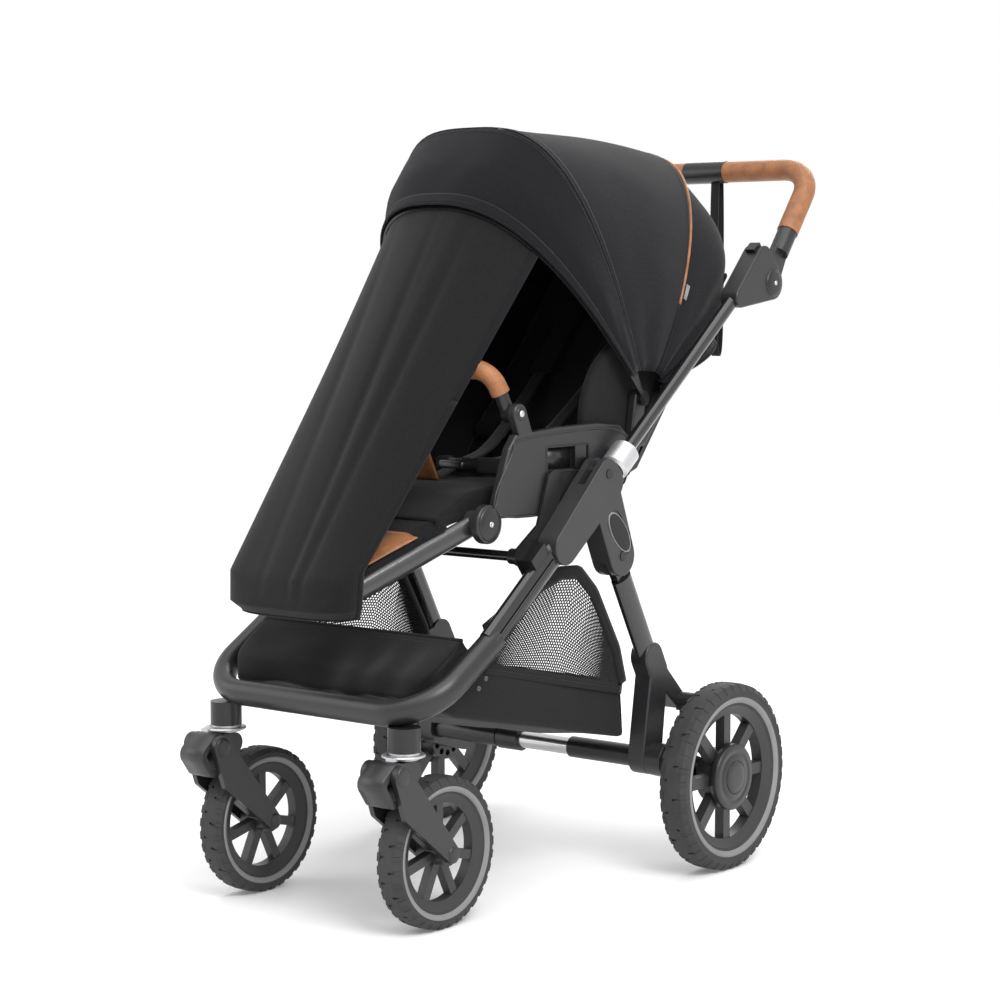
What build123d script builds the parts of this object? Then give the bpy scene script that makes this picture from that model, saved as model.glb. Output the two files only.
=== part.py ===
from build123d import *
import math
import os

# Baby stroller, millimetres. +X is the stroller's left, +Y its rear, +Z up.
# All shapes are drawn with the front axle at Y = 0 and moved by FRONT_AXLE_Y when they are written.

os.makedirs("parts", exist_ok=True)

FRONT_AXLE_Y = -381.44

# Fits
RUN = 0.05          # radial clearance of a turning or sliding fit
SOFT_GAP = 0.4      # air between a soft piece and its neighbour
SEAT_GAP = 0.3      # air between hard pieces that only pass each other

# Wheels
FRONT_R = 104.0
FRONT_WIDTH = 39.0
FRONT_X = 166.0
REAR_R = 139.0
REAR_WIDTH = 45.0
REAR_X = 277.5
REAR_Y = 527.0
AXLE_R = 5.0

# Main frame line in the side view: a point on it and its rise
LINE_Y = 196.0
LINE_Z = 484.0
LINE_RISE = 38.0
SIDE_X = 204.0
TUBE_WIDE = 25.0
TUBE_TALL = 40.0
ARM_R = 10.0

COS = math.cos(math.radians(LINE_RISE))
SIN = math.sin(math.radians(LINE_RISE))


def on_line(along, above=0.0):
    """Side-view point at a distance along the frame line and above it."""
    return (LINE_Y + along * COS - above * SIN, LINE_Z + along * SIN + above * COS)


# Pivots in the side view (Y, Z)
ARM_PIVOT = on_line(165.0, 16.0)
LEG_PIVOT = (350.0, 478.0)
HANDLE_PIVOT = (748.0, 869.0)
BOSS = (431.0, 172.0)
SWIVEL_Y = -65.0
FORK_PIVOT = (-102.0, 225.0)
SEAT_PIVOT = (235.0, 590.0)
FOOT_PIVOT = (98.0, 540.0)
BUMPER_PIVOT = (166.0, 688.0)
CANOPY_PIVOT = (450.0, 700.0)

nodes = {}


def both(shape):
    """A left piece and its mirror image on the right, as one compound."""
    return Compound(children=[*shape.solids(), *mirror(shape, about=Plane.YZ).solids()])


def right(shape):
    """The mirror image of a left piece."""
    return mirror(shape, about=Plane.YZ)


def rod_x(y, z, radius, x0, x1):
    """A round bar along X between two X values."""
    return Pos((x0 + x1) / 2, y, z) * Rot(0, 90, 0) * Cylinder(radius, abs(x1 - x0))


def side_plane(x):
    """Sketch plane whose first axis is Y and second axis is Z, at one X."""
    return Plane(origin=(x, 0, 0), x_dir=(0, 1, 0), z_dir=(1, 0, 0))


def plate(face, x0, x1):
    """A side-view outline given a thickness from x0 to x1."""
    return extrude(side_plane(x0) * face, amount=x1 - x0)


def capsule(a, b, radius):
    """Side-view outline of a bar with round ends between two points."""
    length = math.dist(a, b)
    angle = math.degrees(math.atan2(b[1] - a[1], b[0] - a[0]))
    centre = ((a[0] + b[0]) / 2, (a[1] + b[1]) / 2)
    return Pos(*centre) * Rot(0, 0, angle) * SlotCenterToCenter(length, 2 * radius)


def disc(centre, radius):
    """Side-view disc."""
    return Pos(*centre) * Circle(radius)


def hull(*circles):
    """Side-view outline around several discs, each given as (point, radius)."""
    edges = []
    for point, radius in circles:
        edges += disc(point, radius).edges()
    return make_hull(edges)


def bar_between(a, b, section):
    """A straight bar whose section is drawn across the line from a to b."""
    direction = Vector(*b) - Vector(*a)
    plane = Plane(origin=a, x_dir=(1, 0, 0), z_dir=direction)
    return extrude(plane * section, amount=direction.length)


def spun(points, x):
    """A ring turned about the X direction from (radius, x) points, with its middle at x."""
    outline = Polyline(*[(px, r) for r, px in points], close=True)
    ring = revolve(make_face(outline), axis=Axis.X, revolution_arc=360)
    return Pos(x, 0, 0) * ring


def eased(shape, edges, radius):
    """Edges rounded with the radius, or with half or a quarter of it where there is less room."""
    for size in (radius, radius / 2, radius / 4):
        try:
            return fillet(edges, size)
        except ValueError:
            continue
    return shape


def keep(name, shape):
    """Store one node under its name."""
    nodes[name] = shape


# Wheels: tyre with tread grooves, spoked rim with hub

TREAD_DEPTH = 2.2
TREAD_COUNT = 36


def tyre(radius, width, rim_radius):
    half = width / 2
    points = [
        (rim_radius, -half * 0.72),
        (rim_radius + 8, -half * 0.95),
        (radius * 0.93, -half),
        (radius * 0.985, -half * 0.74),
        (radius, -half * 0.38),
        (radius, half * 0.38),
        (radius * 0.985, half * 0.74),
        (radius * 0.93, half),
        (rim_radius + 8, half * 0.95),
        (rim_radius, half * 0.72),
    ]
    body = spun(points, 0)
    cutters = []
    for k in range(TREAD_COUNT):
        turn = 360 / TREAD_COUNT * (k + 0.5)
        shift = half * 0.62 * (1 if k % 2 else -1)
        block = Pos(shift, 0, radius) * Rot(0, 0, 14) * Box(half * 0.9, 3.4, 2 * TREAD_DEPTH)
        cutters.append(Rot(turn, 0, 0) * block)
    return body - cutters


def rim(radius, width, hub_radius, hub_half, spokes, spoke_wide, bore):
    half = width * 0.36
    ring = spun(
        [
            (radius - 13, -half * 0.55),
            (radius, -half),
            (radius, half),
            (radius - 13, half * 0.55),
        ],
        0,
    )
    hub = Rot(0, 90, 0) * Cylinder(hub_radius, 2 * hub_half)
    arms = []
    reach = radius - 8
    for k in range(spokes):
        arm = Pos(0, 0, reach / 2) * Box(half * 0.95, spoke_wide, reach)
        arms.append(Rot(360 / spokes * k, 0, 0) * arm)
    wheel = ring + hub + arms
    return wheel - Rot(0, 90, 0) * Cylinder(bore, 4 * hub_half)


FRONT_TYRE_DEEP = 24.0
REAR_TYRE_DEEP = 33.0
FRONT_RIM_R = FRONT_R - FRONT_TYRE_DEEP
REAR_RIM_R = REAR_R - REAR_TYRE_DEEP
FRONT_HUB_HALF = 22.7
REAR_HUB_HALF = 21.0
RING_SLOTS = 12
RING_R = 30.0
BRAKE_PIN_R = 4.0

front_tyre = tyre(FRONT_R, FRONT_WIDTH, FRONT_RIM_R)
front_rim = rim(FRONT_RIM_R, FRONT_WIDTH, 17.0, FRONT_HUB_HALF, 7, 13.0, AXLE_R + RUN)
front_place = Pos(FRONT_X, 0, FRONT_R)
keep("front_tyre_l", front_place * front_tyre)
keep("front_tyre_r", right(front_place * front_tyre))
keep("front_rim_l", front_place * front_rim)
keep("front_rim_r", right(front_place * front_rim))

rear_tyre = tyre(REAR_R, REAR_WIDTH, REAR_RIM_R)
rear_rim = rim(REAR_RIM_R, REAR_WIDTH, 40.0, REAR_HUB_HALF, 8, 17.0, AXLE_R + RUN)
brake_holes = []
for k in range(RING_SLOTS):
    hole = Pos(-REAR_HUB_HALF, 0, RING_R) * Rot(0, 90, 0) * Cylinder(BRAKE_PIN_R + 1.0, 24.0)
    brake_holes.append(Rot(360 / RING_SLOTS * k, 0, 0) * hole)
rear_rim = rear_rim - brake_holes
# The outer end of the hub is closed by a cap over the axle
rear_rim = rear_rim + Pos(REAR_HUB_HALF + 1.25, 0, 0) * Rot(0, 90, 0) * Cylinder(24.0, 2.5)
rear_place = Pos(REAR_X, REAR_Y, REAR_R)
keep("rear_tyre_l", rear_place * rear_tyre)
keep("rear_tyre_r", right(rear_place * rear_tyre))
keep("rear_rim_l", rear_place * rear_rim)
keep("rear_rim_r", right(rear_place * rear_rim))

# Front casters: socket on the hoop, swivelling body, sprung fork, lever

SOCKET_TOP = 283.0
SOCKET_LOW = 250.0
SOCKET_R = 22.0
STEM_R = 8.0
FORK_GAP = 23.0
FORK_THICK = 8.0
PIVOT_PIN_R = 5.0
BLOCK_HALF = 17.0
LEVER_TALL = 9.0

socket_middle = (SOCKET_TOP + SOCKET_LOW) / 2
socket = Pos(FRONT_X, SWIVEL_Y, socket_middle) * Cylinder(SOCKET_R, SOCKET_TOP - SOCKET_LOW)
socket -= Pos(FRONT_X, SWIVEL_Y, SOCKET_LOW + 11) * Cylinder(STEM_R + RUN, 22.0 + 2 * SEAT_GAP)
keep("caster_sockets", both(socket))

LEVER_TOP = SOCKET_LOW - SEAT_GAP
lever_ring = Pos(FRONT_X, SWIVEL_Y, LEVER_TOP - LEVER_TALL / 2) * Cylinder(SOCKET_R - 1, LEVER_TALL)
lever_tab = Pos(FRONT_X + 6, SWIVEL_Y - 27, LEVER_TOP - LEVER_TALL / 2) * Box(13, 20, 5)
lever = lever_ring + lever_tab
lever -= Pos(FRONT_X, SWIVEL_Y, LEVER_TOP) * Cylinder(STEM_R + RUN, 4 * LEVER_TALL)
keep("swivel_lever_l", lever)
keep("swivel_lever_r", right(lever))

BODY_TOP = LEVER_TOP - LEVER_TALL - SEAT_GAP
block = plate(
    hull(((SWIVEL_Y, BODY_TOP - 16), 15), (FORK_PIVOT, 14), ((SWIVEL_Y - 8, BODY_TOP - 13), 12)),
    FRONT_X - BLOCK_HALF,
    FRONT_X + BLOCK_HALF,
)
block = split(block, bisect_by=Plane.XY.offset(BODY_TOP), keep=Keep.BOTTOM)
stem_middle = (BODY_TOP + SOCKET_LOW) / 2
stem = Pos(FRONT_X, SWIVEL_Y, stem_middle) * Cylinder(STEM_R, SOCKET_LOW + 40 - BODY_TOP)
caster_body = block + stem
caster_body -= rod_x(*FORK_PIVOT, PIVOT_PIN_R + RUN, FRONT_X - 60, FRONT_X + 60)
keep("caster_body_l", caster_body)
keep("caster_body_r", right(caster_body))

AXLE_F = (0.0, FRONT_R)
arm_face = hull((FORK_PIVOT, 16), ((-88.0, 172.0), 11), (AXLE_F, 12))
fork_arm = plate(arm_face, FRONT_X + FORK_GAP, FRONT_X + FORK_GAP + FORK_THICK)
other_arm = plate(arm_face, FRONT_X - FORK_GAP - FORK_THICK, FRONT_X - FORK_GAP)
fork = fork_arm + other_arm
fork += rod_x(*FORK_PIVOT, PIVOT_PIN_R, FRONT_X - FORK_GAP - 1, FRONT_X + FORK_GAP + 1)
fork += rod_x(*AXLE_F, AXLE_R, FRONT_X - FORK_GAP - 1, FRONT_X + FORK_GAP + 1)
keep("fork_l", fork)
keep("fork_r", right(fork))

# Front hoop: a bent oval bar joining both side tubes

HOOP_SLOPE = 31.0
HOOP_START = -183.0
HOOP_REACH = 142.0
HOOP_BEND = 75.0
HOOP_TALL = 38.0
HOOP_DEEP = 32.0
TUBE_LOW = -165.0
TUBE_HIGH = 45.0

side_tube = bar_between(
    (SIDE_X, *on_line(TUBE_LOW)), (SIDE_X, *on_line(TUBE_HIGH)), Ellipse(TUBE_WIDE / 2, TUBE_TALL / 2)
)
keep("side_tubes", both(side_tube))


def bent_path(plane, half, start, reach, bend):
    """A U-shaped path in a plane: two legs along its second axis, joined by a bar along its first."""
    points = [(half, start), (half, reach), (-half, reach), (-half, start)]
    outline = FilletPolyline(*points, radius=bend)
    return plane * outline


slope = math.radians(HOOP_SLOPE)
hoop_plane = Plane(
    origin=(0, *on_line(HOOP_START)), x_dir=(1, 0, 0), z_dir=(0, math.sin(slope), -math.cos(slope))
)
hoop_path = bent_path(hoop_plane, SIDE_X, -32.0, HOOP_REACH, HOOP_BEND)
hoop_section = Plane(
    origin=hoop_path @ 0, x_dir=(1, 0, 0), z_dir=hoop_path % 0
) * Ellipse(HOOP_DEEP / 2, HOOP_TALL / 2)
hoop = sweep(hoop_section, path=hoop_path)
hoop -= both(side_tube)
hoop -= both(Pos(FRONT_X, SWIVEL_Y, SOCKET_TOP - 20) * Cylinder(SOCKET_R, 40.0))
keep("front_hoop", hoop)

# Grey joint housings: sleeve on the frame line with a branch down to the rear leg

HOUSE_IN = SIDE_X - 17.0
HOUSE_OUT = SIDE_X + 17.0
PIN_R = 4.0
PIN_HEAD_R = 7.0
TONGUE_HALF = 6.0
SLOT_HALF = TONGUE_HALF + SEAT_GAP
BADGE_CENTRE = (342.0, 513.0)
BADGE_TILT = -50.0
BADGE_DEPTH = 1.2
LEG_ANGLE = -61.5
LEG_FOLD = -55.0


def aimed(point, degrees, distance):
    """Side-view point at a distance from another in a direction."""
    angle = math.radians(degrees)
    return (point[0] + distance * math.cos(angle), point[1] + distance * math.sin(angle))


def slab(face, half):
    """A side-view outline cut through the middle of the left frame side."""
    return plate(face, SIDE_X - half, SIDE_X + half)


def line_box(s0, s1, t0, t1):
    """Side-view rectangle set along the frame line."""
    corners = [on_line(s0, t0), on_line(s1, t0), on_line(s1, t1), on_line(s0, t1)]
    return make_face(Polyline(*corners, close=True))


house_face = (
    hull((on_line(28.0), 25.0), (on_line(165.0), 25.0), (ARM_PIVOT, 22.0))
    + hull((on_line(150.0, -4.0), 26.0), ((318.0, 548.0), 29.0), (LEG_PIVOT, 29.0))
)
house = plate(house_face, HOUSE_IN, HOUSE_OUT)
house = eased(house, house.faces().sort_by(Axis.X)[-1].edges(), 4.0)
badge_face = Pos(*BADGE_CENTRE) * Rot(0, 0, BADGE_TILT) * SlotOverall(75.0, 34.0)
house -= plate(badge_face, HOUSE_OUT - BADGE_DEPTH, HOUSE_OUT + 5)
house -= bar_between(
    (SIDE_X, *on_line(-40.0)),
    (SIDE_X, *on_line(TUBE_HIGH)),
    Ellipse(TUBE_WIDE / 2 + RUN, TUBE_TALL / 2 + RUN),
)
house -= slab(disc(ARM_PIVOT, 15.0), SLOT_HALF)
house -= slab(line_box(151.0, 260.0, -16.0, 90.0), SLOT_HALF)
house -= slab(line_box(122.0, 260.0, 0.0, 90.0), SLOT_HALF)
leg_sweep = [
    (aimed(LEG_PIVOT, LEG_ANGLE + LEG_FOLD * k / 4, 70.0), 19.0) for k in range(5)
]
house -= slab(hull((LEG_PIVOT, 19.0), *leg_sweep), SLOT_HALF)
house -= rod_x(*ARM_PIVOT, PIN_R, 150, 250)
house -= rod_x(*LEG_PIVOT, PIN_R, 150, 250)
keep("joint_housings", both(house))


def pivot_pin(centre):
    """A riveted pin through both cheeks of a housing."""
    pin = rod_x(*centre, PIN_R, HOUSE_IN, HOUSE_OUT)
    pin += rod_x(*centre, PIN_HEAD_R, HOUSE_IN - 1.2, HOUSE_IN)
    return pin + rod_x(*centre, PIN_HEAD_R, HOUSE_OUT, HOUSE_OUT + 1.2)


pins = pivot_pin(LEG_PIVOT)
pins = Compound(children=[*both(pins).solids(), *both(pivot_pin(ARM_PIVOT)).solids()])
keep("pivot_pins", pins)

# Push arms with their hinge tongues, and the sliding collars that lock them

ARM_LOW = 196.0
ARM_HIGH = 630.0
CATCH_LOW = 192.0
CATCH_HIGH = 236.0
CATCH_R = 21.0

tongue = slab(hull((ARM_PIVOT, 14.0), (on_line(ARM_LOW - 13.0), 8.0)), TONGUE_HALF)
tongue += slab(line_box(ARM_LOW - 13.0, ARM_LOW + 4.0, -7.0, 7.0), TONGUE_HALF)
arm = bar_between((SIDE_X, *on_line(ARM_LOW)), (SIDE_X, *on_line(ARM_HIGH)), Circle(ARM_R)) + tongue
arm -= rod_x(*ARM_PIVOT, PIN_R + RUN, 150, 250)
keep("arm_tubes", both(arm))

catch_shape = bar_between(
    (SIDE_X, *on_line(CATCH_LOW)), (SIDE_X, *on_line(CATCH_HIGH)), Circle(CATCH_R)
)
catch_shape = chamfer(catch_shape.edges().filter_by(GeomType.CIRCLE), 4.0)
catch_shape -= bar_between(
    (SIDE_X, *on_line(CATCH_LOW - 40)), (SIDE_X, *on_line(CATCH_HIGH + 40)), Circle(ARM_R + RUN)
)
keep("fold_catches", both(catch_shape))

# Handlebar and its tilting hinges

HANDLE_RISE = 52.5
HANDLE_REACH = 228.0
HANDLE_BEND = 55.0
HANDLE_R = 11.0
GRIP_R = 17.0
SLEEVE_R = 18.0
SLEEVE_HALF = 38.0
GRIP_START = 100.0
HINGE_HALF = 15.0
HANDLE_UP = 15.0
HANDLE_DOWN = -35.0
TRIGGER_TRAVEL = 4.0

lower_face = hull((on_line(588.0), 15.0), (on_line(676.0, 8.0), 20.0), (HANDLE_PIVOT, 26.0))
lower = plate(lower_face, SIDE_X - HINGE_HALF, SIDE_X + HINGE_HALF)
lower = eased(lower, lower.faces().sort_by(Axis.X)[-1].edges(), 3.0)
tilt_sweep = [
    (aimed(HANDLE_PIVOT, HANDLE_RISE + HANDLE_DOWN + (HANDLE_UP - HANDLE_DOWN) * k / 4, 90.0), 18.0)
    for k in range(5)
]
lower -= slab(hull((HANDLE_PIVOT, 27.0), *tilt_sweep), SLOT_HALF)
lower -= bar_between((SIDE_X, *on_line(500.0)), (SIDE_X, *on_line(ARM_HIGH)), Circle(ARM_R))
trigger_face = line_box(666.0, 686.0, 21.0, 33.0)
pocket_face = line_box(666.0 - RUN, 686.0 + RUN, 21.0 - TRIGGER_TRAVEL - SEAT_GAP, 60.0)
lower -= plate(pocket_face, SIDE_X - 8 - RUN, SIDE_X + 8 + RUN)
lower += rod_x(*HANDLE_PIVOT, 4.5, SIDE_X - HINGE_HALF, SIDE_X + HINGE_HALF)
keep("handle_hinge_lowers", both(lower))
trigger = plate(trigger_face, SIDE_X - 8, SIDE_X + 8)
trigger = fillet(trigger.edges().filter_by(Axis.X).sort_by(Axis.Z)[-2:], 3.0)
keep("handle_triggers", both(trigger))

upper = slab(hull((HANDLE_PIVOT, 25.5), (aimed(HANDLE_PIVOT, HANDLE_RISE, 66.0), 14.0)), TONGUE_HALF)
upper += bar_between(
    (SIDE_X, *aimed(HANDLE_PIVOT, HANDLE_RISE, 58.0)),
    (SIDE_X, *aimed(HANDLE_PIVOT, HANDLE_RISE, GRIP_START)),
    Circle(15.5),
)
upper -= rod_x(*HANDLE_PIVOT, 4.5 + RUN, 150, 250)
upper -= bar_between(
    (SIDE_X, *aimed(HANDLE_PIVOT, HANDLE_RISE, 70.0)),
    (SIDE_X, *aimed(HANDLE_PIVOT, HANDLE_RISE, 200.0)),
    Circle(HANDLE_R),
)
keep("handle_hinge_uppers", both(upper))

rise = math.radians(HANDLE_RISE)
handle_plane = Plane(
    origin=(0, *HANDLE_PIVOT), x_dir=(1, 0, 0), z_dir=(0, -math.sin(rise), math.cos(rise))
)
handle_path = bent_path(handle_plane, SIDE_X, 70.0, HANDLE_REACH, HANDLE_BEND)


def along_path(path, face):
    """A section swept along a path from its start."""
    return sweep(Plane(origin=path @ 0, x_dir=(1, 0, 0), z_dir=path % 0) * face, path=path)


keep("handle_tube", along_path(handle_path, Circle(HANDLE_R)))
grip_points = [(SIDE_X, GRIP_START), (SIDE_X, HANDLE_REACH), (SLEEVE_HALF, HANDLE_REACH)]
grip_path = handle_plane * FilletPolyline(*grip_points, radius=HANDLE_BEND)
keep("handle_grips", both(along_path(grip_path, Circle(GRIP_R) - Circle(HANDLE_R))))
BAR = aimed(HANDLE_PIVOT, HANDLE_RISE, HANDLE_REACH)
sleeve = rod_x(*BAR, SLEEVE_R, -SLEEVE_HALF, SLEEVE_HALF) - rod_x(*BAR, HANDLE_R, -60, 60)
keep("handle_sleeve", sleeve)

# Wrist strap: a webbing loop around the sleeve with both layers hanging together

STRAP_X = 20.0
STRAP_WIDE = 16.0
STRAP_LONG = 290.0
STRAP_THICK = 2.4
strap_x0 = STRAP_X - STRAP_WIDE / 2
strap_x1 = STRAP_X + STRAP_WIDE / 2
strap = rod_x(*BAR, SLEEVE_R + SOFT_GAP + STRAP_THICK, strap_x0, strap_x1)
strap += Pos(STRAP_X, BAR[0], BAR[1] - STRAP_LONG / 2) * Box(STRAP_WIDE, 2.4 * STRAP_THICK, STRAP_LONG)
strap -= rod_x(*BAR, SLEEVE_R + SOFT_GAP, strap_x0 - 5, strap_x1 + 5)
keep("wrist_strap", strap)

# Rear legs, brackets and cross tube

LEG_LONG = 205.0
LEG_START = 38.0
BRACKET_IN = SIDE_X - 14.0
BRACKET_OUT = SIDE_X + 14.0
CROSS_R = 13.0
SLEEVE_CROSS_R = 16.0
SWING_OUT = 246.0
LEG_FOOT = aimed(LEG_PIVOT, LEG_ANGLE, LEG_LONG)

tongue_end = aimed(LEG_PIVOT, LEG_ANGLE, LEG_START + 12.0)
leg_tongue = slab(hull((LEG_PIVOT, 17.0), (tongue_end, 14.0)), TONGUE_HALF)
leg_bar = bar_between(
    (SIDE_X, *aimed(LEG_PIVOT, LEG_ANGLE, LEG_START)), (SIDE_X, *LEG_FOOT), Ellipse(12.0, 19.0)
)
leg = leg_bar + leg_tongue - rod_x(*LEG_PIVOT, PIN_R + RUN, 150, 250)
keep("rear_leg_tubes", both(leg))

PUCK_Y = 504.0
PUCK_LOW = 185.0
PUCK_HIGH = 236.0
PUCK_R = 14.0
PUCK_X = 231.0
bracket_face = hull((aimed(LEG_PIVOT, LEG_ANGLE, 178.0), 22.0), (LEG_FOOT, 22.0)) + hull(
    (LEG_FOOT, 22.0), (BOSS, 24.0)
)
bracket_face += hull((aimed(LEG_PIVOT, LEG_ANGLE, 200.0), 16.0), ((PUCK_Y, PUCK_HIGH + 13.0), 13.0))
bracket = plate(bracket_face, BRACKET_IN, BRACKET_OUT)
bracket = eased(bracket, bracket.faces().sort_by(Axis.X)[-1].edges(), 3.0)
bracket += plate(hull(((PUCK_Y, PUCK_HIGH + 13.0), 13.0)), BRACKET_IN + 4, SWING_OUT)
bracket += Pos((BRACKET_OUT + SWING_OUT) / 2, PUCK_Y, PUCK_HIGH + 4) * Box(SWING_OUT - BRACKET_OUT, 28, 8)
bracket -= leg_bar
bracket -= rod_x(*BOSS, CROSS_R, 100, 300)
keep("rear_brackets", both(bracket))

keep("rear_axle", rod_x(*BOSS, CROSS_R, -SWING_OUT, SWING_OUT))
PEDAL_X0 = -66.0
PEDAL_X1 = -26.0
cross_sleeve = rod_x(*BOSS, SLEEVE_CROSS_R, 70.0, BRACKET_IN) - rod_x(*BOSS, CROSS_R, 0, 300)
keep("axle_sleeves", both(cross_sleeve))

# Swing arms that carry the rear wheels on rubber pucks

AXLE_Z = REAR_R
SWING_IN = BRACKET_OUT + SEAT_GAP
HUB_FACE = REAR_X - REAR_HUB_HALF
swing = plate(hull((BOSS, 24.0), ((REAR_Y, AXLE_Z), 20.0)), SWING_IN, SWING_OUT)
swing = eased(swing, swing.faces().sort_by(Axis.X)[-1].edges(), 2.0)
swing += Pos(PUCK_X, PUCK_Y, (150.0 + PUCK_LOW) / 2) * Cylinder(PUCK_R - 1.5, PUCK_LOW - 150.0)
swing += rod_x(REAR_Y, AXLE_Z, 9.0, SWING_OUT - 4, HUB_FACE - SEAT_GAP)
swing += rod_x(REAR_Y, AXLE_Z, AXLE_R, SWING_OUT - 4, REAR_X + REAR_HUB_HALF - SEAT_GAP)
PIN_SLOT = 60.0
BRAKE_AT = (
    REAR_Y - RING_R * math.sin(math.radians(PIN_SLOT)),
    AXLE_Z + RING_R * math.cos(math.radians(PIN_SLOT)),
)
swing -= rod_x(*BRAKE_AT, BRAKE_PIN_R + RUN, 200, 260)
swing -= rod_x(*BOSS, CROSS_R + RUN, 200, 260)
keep("swing_arm_l", swing)
keep("swing_arm_r", right(swing))

puck = Pos(PUCK_X, PUCK_Y, (PUCK_LOW + PUCK_HIGH) / 2) * Cylinder(PUCK_R, PUCK_HIGH - PUCK_LOW - 2 * 0.3)
puck += Pos(PUCK_X, PUCK_Y, (PUCK_LOW + PUCK_HIGH) / 2) * Cylinder(PUCK_R + 3, 8)
keep("suspension_pucks", both(puck))

# Brake: foot pedal on the cross tube and a pin at each wheel

brake_pin = rod_x(*BRAKE_AT, BRAKE_PIN_R, SWING_IN + 6, HUB_FACE - 1.0)
keep("brake_pin_l", brake_pin)
keep("brake_pin_r", right(brake_pin))
pedal = plate(hull((BOSS, 18.0), ((BOSS[0] + 62.0, BOSS[1] + 20.0), 5.0)), PEDAL_X0, PEDAL_X1)
pedal = eased(pedal, pedal.edges().filter_by(Axis.X).sort_by(Axis.Y)[-1:], 2.0)
pedal -= rod_x(*BOSS, CROSS_R + RUN, -200, 200)
keep("brake_pedal", pedal)

# Seat adapters on the side tubes and the cross bar between them

ADAPTER_IN = 182.0
ADAPTER_OUT = 186.5
CROSS_BAR = (157.0, 491.0)
CROSS_BAR_R = 7.0
SEAT_PIN_R = 8.0
SIDE_IN = 168.0
SIDE_OUT = 180.0

adapter = plate(
    hull((SEAT_PIVOT, 17.0), ((212.0, 520.0), 19.0)) + hull(((212.0, 520.0), 19.0), (CROSS_BAR, 13.0)),
    ADAPTER_IN,
    ADAPTER_OUT,
)
adapter += plate(line_box(-36.0, 1.0, 2.0, 33.0), ADAPTER_IN, SIDE_X + 9)
adapter -= side_tube
adapter += rod_x(*SEAT_PIVOT, SEAT_PIN_R, SIDE_IN + 2, ADAPTER_IN + 1)
adapter += rod_x(*CROSS_BAR, 11.0, ADAPTER_IN - 12, ADAPTER_IN + 1)
adapter -= rod_x(*CROSS_BAR, CROSS_BAR_R, 100, ADAPTER_IN - 2)
keep("seat_adapters", both(adapter))
keep("cross_bar", rod_x(*CROSS_BAR, CROSS_BAR_R, -(ADAPTER_IN - 2), ADAPTER_IN - 2))

# Basket: fabric tub with net sides

TUB_CLEAR = 5.0
TUB_HALF = SIDE_X - HOOP_DEEP / 2 - TUB_CLEAR
TUB_WALL = 3.0
TUB = [
    (34.0, 388.0), (-28.0, 330.0), (30.0, 284.0), (404.0, 204.0), (388.0, 335.0), (230.0, 318.0),
    (80.0, 345.0),
]
tub_face = make_face(Polyline(*TUB, close=True))
tub = plate(tub_face, -TUB_HALF, TUB_HALF)
inner_face = offset(tub_face, -TUB_WALL)
TUB_OPENING = [
    (37.0, 380.0), (72.0, 340.0), (230.0, 310.0), (383.0, 327.0), (383.0, 520.0), (37.0, 520.0),
]
inner_face += make_face(Polyline(*TUB_OPENING, close=True))
tub -= plate(inner_face, -TUB_HALF + TUB_WALL, TUB_HALF - TUB_WALL)
keep("basket_tub", tub)

NET_THICK = 1.2
NET_PITCH = 14.0
NET_HOLE = 9.5
NET = [
    (78.0, 320.0), (80.0, 396.0), (170.0, 436.0), (250.0, 460.0), (292.0, 458.0), (330.0, 424.0),
    (384.0, 336.0), (388.0, 300.0), (230.0, 305.0),
]
net_face = make_face(Polyline(*NET, close=True))
net_inner = offset(net_face, -9.0)
holes = []
for row in range(14):
    for column in range(26):
        spot = (80.0 + NET_PITCH * column, 300.0 + NET_PITCH * row)
        hole_face = Pos(*spot) * Rectangle(NET_HOLE, NET_HOLE)
        kept = hole_face & net_inner
        if kept and kept.area > 0.99 * NET_HOLE ** 2:
            holes.append(hole_face)
net_face = net_face - holes
net = plate(net_face, TUB_HALF + SOFT_GAP, TUB_HALF + SOFT_GAP + NET_THICK)
keep("basket_nets", both(net))

# Seat unit: shell, side panels with armrests, triggers, pads and harness

SHELL_HALF = 4.0
SHELL_POINTS = [(130.0, 556.0), (330.0, 556.0), (455.0, 600.0), (690.0, 880.0)]
SHELL_X = SIDE_IN
PAD_HALF = 11.0
PAD_X = 150.0
RECESS_DEEP = 6.0
SEAT_TRIGGER_TRAVEL = 6.0
FOOT_PIN_R = 7.0
BUMPER_PIN_R = 5.0
CANOPY_PIN_R = 5.0
CANOPY_PIN_END = 187.4
EYE_IN = 146.0
BUMPER_IN = 154.0


def strip(points, half):
    """Side-view outline of a bent sheet."""
    face = capsule(points[0], points[1], half)
    for a, b in zip(points[1:], points[2:]):
        face += capsule(a, b, half)
    return face


keep("seat_shell", plate(strip(SHELL_POINTS, SHELL_HALF), -SHELL_X, SHELL_X))

PANEL = [
    (104.0, 546.0), (140.0, 640.0), (156.0, 659.0), (250.0, 666.0), (343.0, 668.0), (398.0, 663.0),
    (428.0, 640.0), (410.0, 580.0), (340.0, 545.0),
]
panel_face = make_face(Polyline(*PANEL, close=True))
panel_face += disc(FOOT_PIVOT, 27.0)
panel_face += hull(((182.0, 650.0), 14.0), (BUMPER_PIVOT, 14.0))
panel_face += capsule((415.0, 600.0), (455.0, 660.0), 14.0)
panel_face += hull(((440.0, 640.0), 14.0), (CANOPY_PIVOT, 13.0))
panel_face += capsule((455.0, 640.0), (612.0, 810.0), 11.0)
panel = plate(panel_face, SIDE_IN, SIDE_OUT)
panel = eased(panel, panel.faces().sort_by(Axis.X)[-1].edges(), 3.0)
RECESS = (226.0, 606.0, 320.0, 638.0)


def side_box(y0, z0, y1, z1):
    """Side-view upright rectangle."""
    return Pos((y0 + y1) / 2, (z0 + z1) / 2) * Rectangle(y1 - y0, z1 - z0)


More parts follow.
